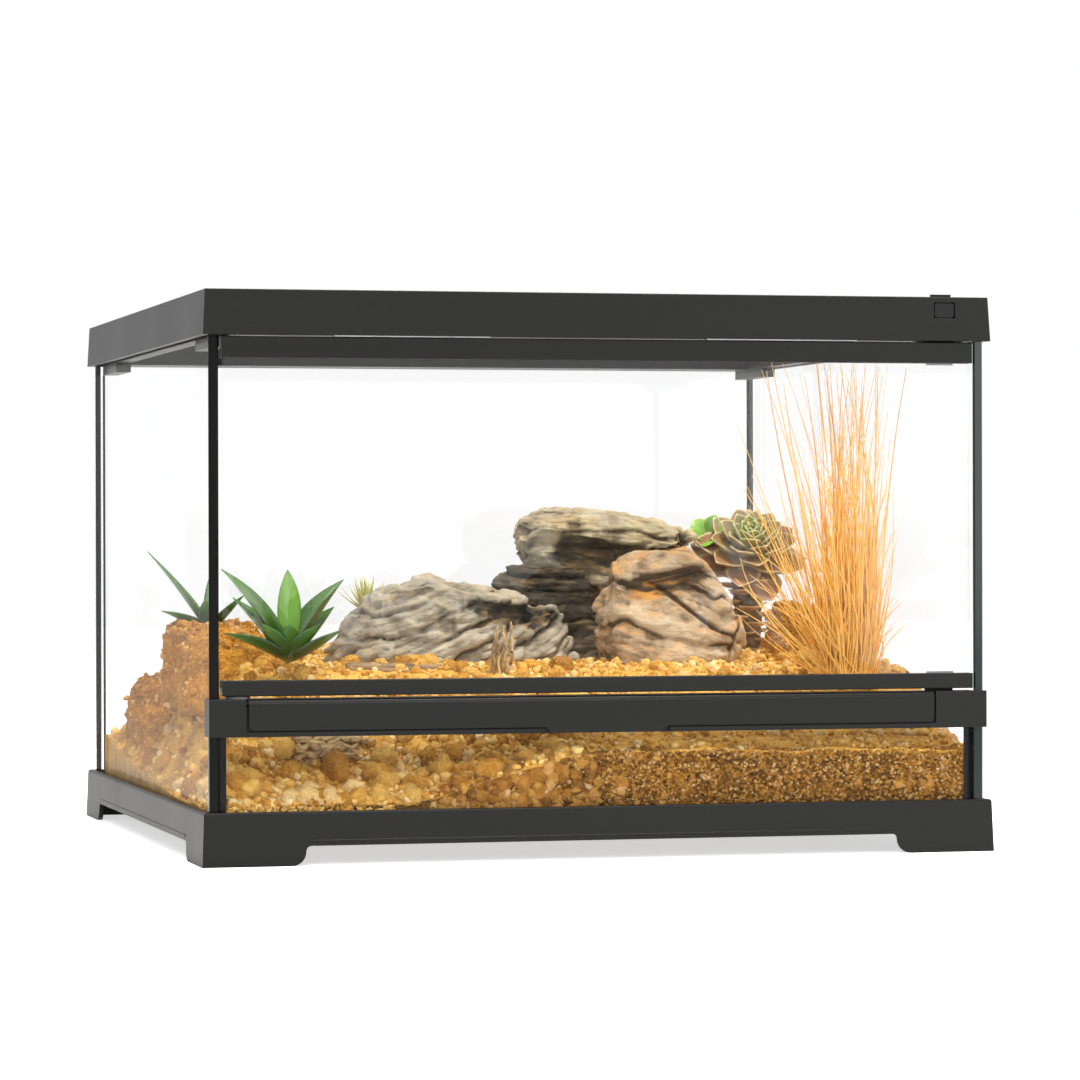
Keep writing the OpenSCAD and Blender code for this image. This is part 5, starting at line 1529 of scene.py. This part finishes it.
@dataclass
class Landscape:
    """Rocks, clay and wood."""

    crumbs: int = 1100

    def rocks(self) -> list[Rock]:
        """The stones, from left to right."""
        grey = Stone("grey_rock", (86, 80, 70), (146, 139, 124), (200, 192, 172), (30, 26, 22), dusty=0.25,
                     layers=(1, 1, 2.4), tilt=0.35)
        tan = Stone("tan_rock", (120, 106, 82), (172, 158, 128), (212, 200, 168), (44, 36, 28), dusty=0.35)
        warm = Stone("warm_rock", (138, 116, 90), (182, 160, 130), (214, 196, 166), (56, 42, 30),
                     dust=(230, 160, 68), dusty=0.8, layers=(1, 1, 2))
        # Painted shadow: a rock in the gap under the upper boulder, near black to stand for the shade there.
        back = Stone("shadow_fill_rock", (26, 22, 18), (50, 44, 36), (84, 76, 62), (10, 8, 7), dusty=0.15)
        return [
            Rock("lower_boulder", "grey_rock", back, seed=33, name="shadow_fill_rock", pits=2.0 * MM,
                 room=((-0.012, 0.008, 0.088), (0.078, 0.080, 0.163))),
            Rock("long_rock", "grey_rock", grey, facets=22, seed=3, ledge=7 * MM,
                 layer=12 * MM, layer_way=(-0.40, -0.25, 1.0),
                 crest=((-1, 0.22), (-0.8, 0.66), (-0.54, 0.86), (-0.16, 1.0), (0.08, 0.9), (0.5, 0.8),
                        (0.8, 0.7), (1, 0.5)),
                 belly=((-1, 0.0), (1, 0.0)),
                 cracks=(Crack((0.012, -0.03, 0.138), (0.05, 0, 1.0), 2.6 * MM, 9 * MM, 45 * MM, True),)),
            Rock("upper_boulder", "tan_rock", tan, facets=16, seed=12, ledge=3.5 * MM, pits=4.4 * MM,
                 rounding=8, layer=17 * MM, layer_way=(0.12, -0.1, 1.0),
                 crest=((-1, 0.7), (-0.93, 0.88), (-0.7, 1.0), (-0.2, 0.99), (0.2, 0.94), (0.5, 0.85),
                        (1, 0.69)),
                 belly=((-1, 0.48), (-0.86, 0.2), (-0.65, 0.15), (-0.3, 0.03), (0, 0), (0.3, 0.16),
                        (0.6, 0.4), (1, 0.55)),
                 cracks=(Crack((0.085, 0.02, 0.172), (0.1, 0.0, 1.0), 3.2 * MM, 15 * MM, 56 * MM, True),
                         Crack((0.118, 0.02, 0.182), (-0.9, 0.0, 0.5), 1.5 * MM, 6 * MM, 26 * MM))),
            Rock("lower_boulder", "tan_rock", warm, facets=15, facet_depth=0.15, seed=27, ledge=2.6 * MM,
                 fine=1.2 * MM, rounding=8, layer=26 * MM, layer_way=(0.3, 0.2, 1.0),
                 crest=((-1, 0.55), (-0.66, 0.74), (-0.6, 0.9), (-0.4, 0.96), (0.3, 1.0), (0.64, 0.86),
                        (0.94, 0.55), (1, 0.35)),
                 belly=((-1, 0.3), (-0.7, 0.12), (-0.2, 0.0), (0.85, 0.0), (1, 0.12)),
                 cracks=(Crack((0.104, -0.06, 0.134), (0.72, 0.0, 1.0), 1.1 * MM, 5 * MM, 40 * MM),
                         Crack((0.088, -0.05, 0.158), (-0.15, 0.0, 1.0), 2.0 * MM, 6 * MM, 30 * MM, True),
                         Crack((0.133, -0.05, 0.135), (-1.0, 0.0, 0.35), 0.9 * MM, 3 * MM, 36 * MM))),
        ]

    def clay(self) -> list[Rock]:
        """The heaps of clay: the mound and its top, the rear left corner and the lump behind the grass."""
        clay = Earth("clay", (128, 78, 14), (190, 128, 36), (230, 174, 76), 620, 2 * MM)
        gold = Earth("golden_clay", (160, 104, 26), (212, 154, 60), (242, 200, 108), 620, 2 * MM)
        lump = {"facets": 10, "facet_depth": 0.08, "layer": 34 * MM, "ledge": 0.6 * MM, "grit": 0.9 * MM}
        return [
            Rock("clay_mound", "clay", clay, broad=5 * MM, fine=2.2 * MM, seed=61, voxel=1.4 * MM,
                 rounding=10, **lump),
            Rock("rear_clay_lump", "clay", gold, broad=4.5 * MM, fine=2.4 * MM, seed=71, voxel=1.2 * MM,
                 **lump),
            Rock("upper_boulder", "clay", clay, broad=5 * MM, fine=2.2 * MM, seed=81, voxel=1.5 * MM, **lump,
                 room=((-0.210, -0.030, 0.094), (-0.146, 0.088, 0.131)), name="mound_top"),
            Rock("lower_boulder", "clay", clay, broad=4 * MM, fine=1.6 * MM, seed=91, voxel=1.5 * MM, **lump,
                 room=((-0.217, 0.090, 0.052), (-0.160, 0.214, 0.093)), name="corner_lump"),
        ]

    def wood(self) -> None:
        """The pieces of wood."""
        dry = Fibre("cactus_wood", (84, 62, 38), (142, 112, 72), (206, 178, 130), (1, 1, 0.1), 500, MM)
        dark = Fibre("dark_cactus_wood", (42, 28, 14), (112, 80, 44), (214, 184, 128), (0.1, 1, 1), 420, MM)
        stick = Fibre("driftwood", (66, 50, 32), (122, 98, 64), (180, 152, 108), (0.06, 1, 1), 700, MM)
        low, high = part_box("cactus_wood_stump")
        foot = (low + high) / 2
        NetWood("stump_strands", "cactus_wood_stump", dry.build(), (foot.x, foot.y, low.z), (0.05, 0, 1),
                high.z - low.z, (high.x - low.x) / 2 - 1.2 * MM, 8, 1.3 * MM, 0.35, 0.55).build()
        low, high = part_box("cactus_wood_log")
        middle = (low + high) / 2
        NetWood("log_strands", "cactus_wood_log", dark.build(), (low.x, middle.y, middle.z), (1, 0, 0),
                high.x - low.x, (high.z - low.z) / 2 - 1.6 * MM, 10, 1.8 * MM, 0.1, 0.25, 9).build()
        Rock("driftwood_stick", "driftwood", stick, 0.8 * MM, 3, 4, 0.1, 6 * MM, (0, 0.5, 1), MM, 1.2 * MM,
             0.6 * MM, seed=88).build()

    def crumbs_on(self, heap: bpy.types.Object, count: int, seed: int, finish: bpy.types.Material) -> None:
        """Lay crumbs on the upper faces of a heap of clay.

        Args:
            heap: the finished heap.
            count: how many.
            seed: choice of places.
            finish: their material.
        """
        r = np.random.default_rng(seed)
        co, normal = points_of(heap)
        chosen = r.choice(np.flatnonzero(normal[:, 2] > 0.05), count)
        size = (0.9 + 4.6 * r.random(count) ** 5) * MM
        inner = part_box("substrate")[1].x - size * 0.65
        places = co[chosen] + normal[chosen] * size[:, None] * 0.15
        places[:, :2] = np.clip(places[:, :2], -inner[:, None], inner[:, None])
        crumbs = point_cloud(heap.name + "_crumbs", places, {"size": size, "shade": r.random(count)})
        stone_tree().apply(crumbs, {"Detail": 1, "Lumps": 2.4, "Seed": seed, "Material": finish})
        settle(crumbs, TANK, "clay")

    def build(self) -> None:
        """Make all of it."""
        for stone in self.rocks():
            stone.build()
        crumb = Earth("clay_crumbs", (124, 74, 14), (188, 126, 36), (228, 172, 76), 900, MM, 0.6).build()
        for k, heap in enumerate(self.clay()):
            self.crumbs_on(heap.build(), self.crumbs, 300 + k, crumb)
        self.wood()


# ---------------------------------------------------------------- Plants


@dataclass
class Blade:
    """One leaf: where it points, how it bends and how broad it is."""

    turn: float
    rise: float
    bend: float
    length: float
    width: float
    thick: float = 4 * MM
    widest: float = 0.35
    point: float = 2.1
    hollow: float = 0.35
    lot: float = 0.0
    start: RGB = (0.0, 0.0, 0.0)

    def mesh(self, rings: int = 18, sides: int = 12) -> tuple[np.ndarray, list, np.ndarray, np.ndarray]:
        """Shape the leaf at the origin of its plant.

        Args:
            rings: sections along it.
            sides: points round each section.

        Returns:
            Its points, its faces, and for each point its place along the leaf and how near it is to the rim.
        """
        t = np.linspace(0, 1, rings)
        breadth = 0.5 + 0.5 * np.sin(np.minimum(t, self.widest) / self.widest * math.pi / 2)
        breadth -= 0.985 * (np.maximum(t - self.widest, 0) / (1 - self.widest)) ** self.point
        angle = np.radians(self.rise + self.bend * t)
        step = self.length / (rings - 1)
        x = np.concatenate([[0], np.cumsum(np.cos((angle[1:] + angle[:-1]) / 2) * step)])
        z = np.concatenate([[0], np.cumsum(np.sin((angle[1:] + angle[:-1]) / 2) * step)])
        ring = np.linspace(0, 2 * math.pi, sides, endpoint=False)
        across, up = np.cos(ring), np.sin(ring)
        points, along, rim = [], [], []
        for i in range(rings):
            half = self.width / 2 * breadth[i]
            body = self.thick * (0.25 + 0.75 * breadth[i]) * (1 - 0.55 * t[i]) / 2
            lift = up * body + self.hollow * half * (across ** 2)
            points.append(np.stack([x[i] - math.sin(angle[i]) * lift, across * half,
                                    z[i] + math.cos(angle[i]) * lift], axis=1))
            along.append(np.full(sides, t[i]))
            rim.append(np.maximum(np.abs(across), smooth((t[i] - 0.85) / 0.12)))
        p = np.vstack(points)
        c, s = math.cos(math.radians(self.turn)), math.sin(math.radians(self.turn))
        p = np.stack([p[:, 0] * c - p[:, 1] * s, p[:, 0] * s + p[:, 1] * c, p[:, 2]], axis=1)
        return p + np.array(self.start), strip_faces(rings, sides), np.concatenate(along), np.concatenate(rim)


def leafy(name: str, blades: list[Blade], origin: RGB, finish: bpy.types.Material, lean: RGB = (0, 0, 0),
          rings: int = 18, sides: int = 12) -> bpy.types.Object:
    """Join leaves into one plant.

    Args:
        name: the object's name.
        blades: its leaves.
        origin: where the leaves meet.
        finish: their material.
        lean: turn of the whole about X, Y and Z, in degrees.
        rings: sections along each leaf.
        sides: points round each section.

    Returns:
        The object.
    """
    turn = np.array(Euler([math.radians(a) for a in lean]).to_matrix())
    points, faces, along, rim, lot, base = [], [], [], [], [], 0
    for blade in blades:
        p, f, a, r = blade.mesh(rings, sides)
        points.append(p @ turn.T + np.array(origin))
        faces += [tuple(v + base for v in face) for face in f]
        along.append(a)
        rim.append(r)
        lot.append(np.full(len(p), blade.lot))
        base += len(p)
    obj = new_object(name, np.vstack(points), faces, finish)
    add_attribute(obj, "along", np.concatenate(along))
    add_attribute(obj, "rim", np.concatenate(rim))
    add_attribute(obj, "shade", np.concatenate(lot))
    return obj


@dataclass
class Plants:
    """Two succulents, an air plant, a rosette on a stem and a bundle of dried grass."""

    seat: float = 91 * MM

    def fan(self, *rows: tuple, thick: float) -> list[Blade]:
        """Leaves from rows of turn, rise, bend, length, width, widest place, point, hollow and lot."""
        return [Blade(turn, rise, bend, length * MM, width * MM, thick, widest, point, hollow, lot)
                for turn, rise, bend, length, width, widest, point, hollow, lot in rows]

    def succulents(self) -> None:
        """The fans of green leaves at the left."""
        finish = Leaf("succulent_leaf", (16, 42, 6), (34, 78, 10), (58, 108, 16), (16, 36, 8), 0.08, 0.34,
                      0.55, (112, 168, 14)).build()
        front = self.fan(
            (176, 64, -20, 66, 24, 0.42, 1.9, 0.5, 0.3), (96, 86, 6, 53, 14.5, 0.5, 2.4, 0.5, 0.75),
            (8, 60, -12, 58, 27, 0.45, 1.9, 0.45, 0.12), (28, 44, -4, 46, 19, 0.45, 1.8, 0.45, 0.05),
            (188, 30, -14, 42, 18, 0.45, 1.8, 0.45, 0), (150, 52, -10, 50, 18, 0.45, 1.8, 0.45, 0.1),
            (215, 38, 14, 31, 17, 0.45, 1.8, 0.5, 0), (262, 46, 12, 27, 16, 0.45, 1.8, 0.5, 0),
            (318, 40, 10, 30, 17, 0.45, 1.8, 0.5, 0), (345, 24, 12, 36, 17, 0.45, 1.8, 0.5, 0),
            thick=4.5 * MM)
        obj = leafy("front_fan", front, (-161 * MM, -118 * MM, self.seat + 19 * MM), finish)
        settle(obj, TANK, "succulent_leaf", "front_succulent")
        rear = self.fan((166, 56, -8, 62, 12, 0.3, 1.4, 0.5, 0.25), (190, 26, -8, 34, 13, 0.4, 1.7, 0.5, 0),
                        (60, 80, 0, 42, 9, 0.4, 1.7, 0.5, 0.2), (-20, 46, 0, 31, 12, 0.4, 1.7, 0.5, 0),
                        (250, 44, 10, 26, 12, 0.4, 1.7, 0.5, 0), thick=4 * MM)
        obj = leafy("rear_fan", rear, (-180 * MM, 40 * MM, self.seat + 33 * MM), finish)
        settle(obj, TANK, "succulent_leaf", "rear_succulent")

    def air_plant(self) -> None:
        """A tuft of thin pale leaves."""
        pale = Leaf("air_plant_leaf", (140, 142, 60), (186, 186, 88), (214, 206, 120), (220, 212, 140), 0.1,
                    0.6)
        r = np.random.default_rng(5)
        count = 42
        blades = [Blade(GOLDEN_TURN * i, 20 + 62 * (i / count), 10 + 14 * r.random(),
                        (17 + 8 * r.random()) * MM, 3.2 * MM, 1.4 * MM, 0.15, 1.2, 0.3, 0.2 * r.random())
                  for i in range(count)]
        spot = (-66 * MM, 118 * MM, self.seat + 43 * MM)
        obj = leafy("air_plant_tuft", blades, spot, pale.build(), rings=7, sides=6)
        settle(obj, TANK, "air_plant_leaf", "air_plant")

    def rosette(self) -> None:
        """Spoon-shaped leaves in one spiral, a young head beside them, and a scaly stem."""
        foot, stem = Vector((180 * MM, 92 * MM, self.seat)), 80 * MM
        head = Leaf("rosette_leaf", (150, 128, 84), (168, 130, 92), (156, 100, 76), (226, 212, 160), 0.15,
                    0.4, 0.75, (98, 138, 52))
        blades, count = [], 42
        for i in range(count):
            t = i / (count - 1)
            length = (42 - 27 * t ** 1.1) * MM
            blades.append(Blade(GOLDEN_TURN * i, -24 + 96 * t ** 0.9, 34 - 16 * t, length,
                                length * (0.62 - 0.06 * t), 5.5 * MM, 0.62, 2.3, 0.4,
                                max(0.0, 1.25 * t - 0.25), (0, 0, (16 * t - 8) * MM)))
        top = foot + Vector((0, -2 * MM, stem))
        obj = leafy("rosette_head", blades, tuple(top), head.build(), (40, -8, 0), 14, 12)
        settle(obj, TANK, "rosette_leaf", "rosette_plant")
        lime = Leaf("rosette_young_leaf", (64, 112, 24), (100, 154, 36), (138, 184, 56), (186, 210, 110), 0.2,
                    0.4, 0.5, (112, 164, 40))
        buds = [Blade(72 * i + 20, 20 + 9 * (i % 3), 12, 17 * MM, 13 * MM, 3.5 * MM, 0.6, 3.0, 0.3, 0.1 * i)
                for i in range(8)]
        spot = (158 * MM, 104 * MM, self.seat + 88 * MM)
        obj = leafy("rosette_bud", buds, spot, lime.build(), (30, -30, 0), 10, 10)
        settle(obj, TANK, "rosette_leaf")
        rust = Leaf("rosette_low_leaf", (120, 84, 58), (172, 122, 88), (180, 120, 80), (220, 190, 150), 0.15,
                    0.4)
        scales, count = [], 26
        for i in range(count):
            t = i / (count - 1)
            scales.append(Blade(GOLDEN_TURN * i, -16 + 10 * t, 26, (13 + 9 * t) * MM, (12 + 5 * t) * MM,
                                4 * MM, 0.6, 3.0, 0.25, 0.2 * t, (0, 0, (14 + 50 * t) * MM)))
        obj = leafy("rosette_stem_leaves", scales, tuple(foot), rust.build(), rings=9, sides=10)
        settle(obj, TANK, "rosette_leaf")
        bark = Fibre("rosette_bark", (44, 34, 26), (84, 66, 48), (120, 96, 70), (1, 1, 0.3), 300, 1.5 * MM)
        rings, sides = 30, 18
        turn = np.linspace(0, 2 * math.pi, sides, endpoint=False)
        verts = []
        for k, level in enumerate(np.linspace(0, stem, rings)):
            radius = (7.5 + 3.0 * k / rings + 1.2 * np.cos(3 * turn + 2.4 * k)) * MM
            verts.append(np.stack([foot.x + radius * np.cos(turn), foot.y + radius * np.sin(turn),
                                   np.full(sides, foot.z + level)], axis=1))
        obj = new_object("rosette_stem", np.vstack(verts), strip_faces(rings, sides), bark.build())
        settle(obj, TANK, "rosette_leaf")

    def grass(self) -> None:
        """The bundle of dried grass: a thick foot, a few tall straws, and strays that lean to the left."""
        straw = Fibre("dried_grass", (206, 124, 22), (240, 170, 56), (255, 216, 124), (1, 1, 0.05), 900,
                      0.3 * MM, 0.6)
        r = np.random.default_rng(17)
        n, strays, tall = 460, 0.2, 0.17
        foot_at = np.array((173 * MM, -138 * MM, self.seat + 6 * MM))
        flat = np.zeros(n)
        stray = r.random(n) < strays
        angle, radius = r.random(n) * 2 * math.pi, np.sqrt(r.random(n))
        foot = np.stack([radius * np.cos(angle) * 17, radius * np.sin(angle) * 13, flat], axis=1) * MM
        height = np.where(r.random(n) < tall, 130 + 66 * r.random(n), 30 + 92 * r.random(n)) * MM
        spread = np.where(stray, 1.9 + 1.2 * r.random(n), 0.9 + 0.5 * r.random(n))
        reach = np.stack([foot[:, 0] * (spread - 1) + 6 * MM * r.normal(size=n),
                          foot[:, 1] * (spread - 1) + 5 * MM * r.normal(size=n), height], axis=1)
        reach[:, 0] -= np.where(stray, (8 + 56 * r.random(n)) * MM, 0)
        bow = np.stack([3 * MM * r.normal(size=n), 3 * MM * r.normal(size=n), flat], axis=1)
        curl = np.stack([8 * MM * r.normal(size=n), 6 * MM * r.normal(size=n), flat], axis=1)
        tip = foot + reach + curl
        low, high = np.array((-66 * MM, -38 * MM)), 38 * MM
        reach[:, :2] += np.clip(tip[:, :2], low, high) - tip[:, :2]
        thick = (0.34 + 0.3 * r.random(n)) * MM
        obj = point_cloud("grass_bundle", foot + foot_at, {
            "reach": reach, "bow": bow, "curl": curl, "thick": thick, "shade": r.random(n)})
        straw_tree().apply(obj, {"Steps": 9, "Material": straw.build()})
        settle(obj, TANK, "dried_grass", "dried_grass")

    def build(self) -> None:
        """Make all plants."""
        self.succulents()
        self.air_plant()
        self.rosette()
        self.grass()


# ---------------------------------------------------------------- Putting it together


def main() -> None:
    """Build every sub-assembly in order."""
    logging.basicConfig(level=logging.INFO, format="%(name)s: %(message)s")
    Studio().build()
    screen = Casework().build()
    GlassWork().build()
    ScreenLid().build(screen)
    SandBed().build()
    Landscape().build()
    Plants().build()


if __name__ == "__main__":
    main()
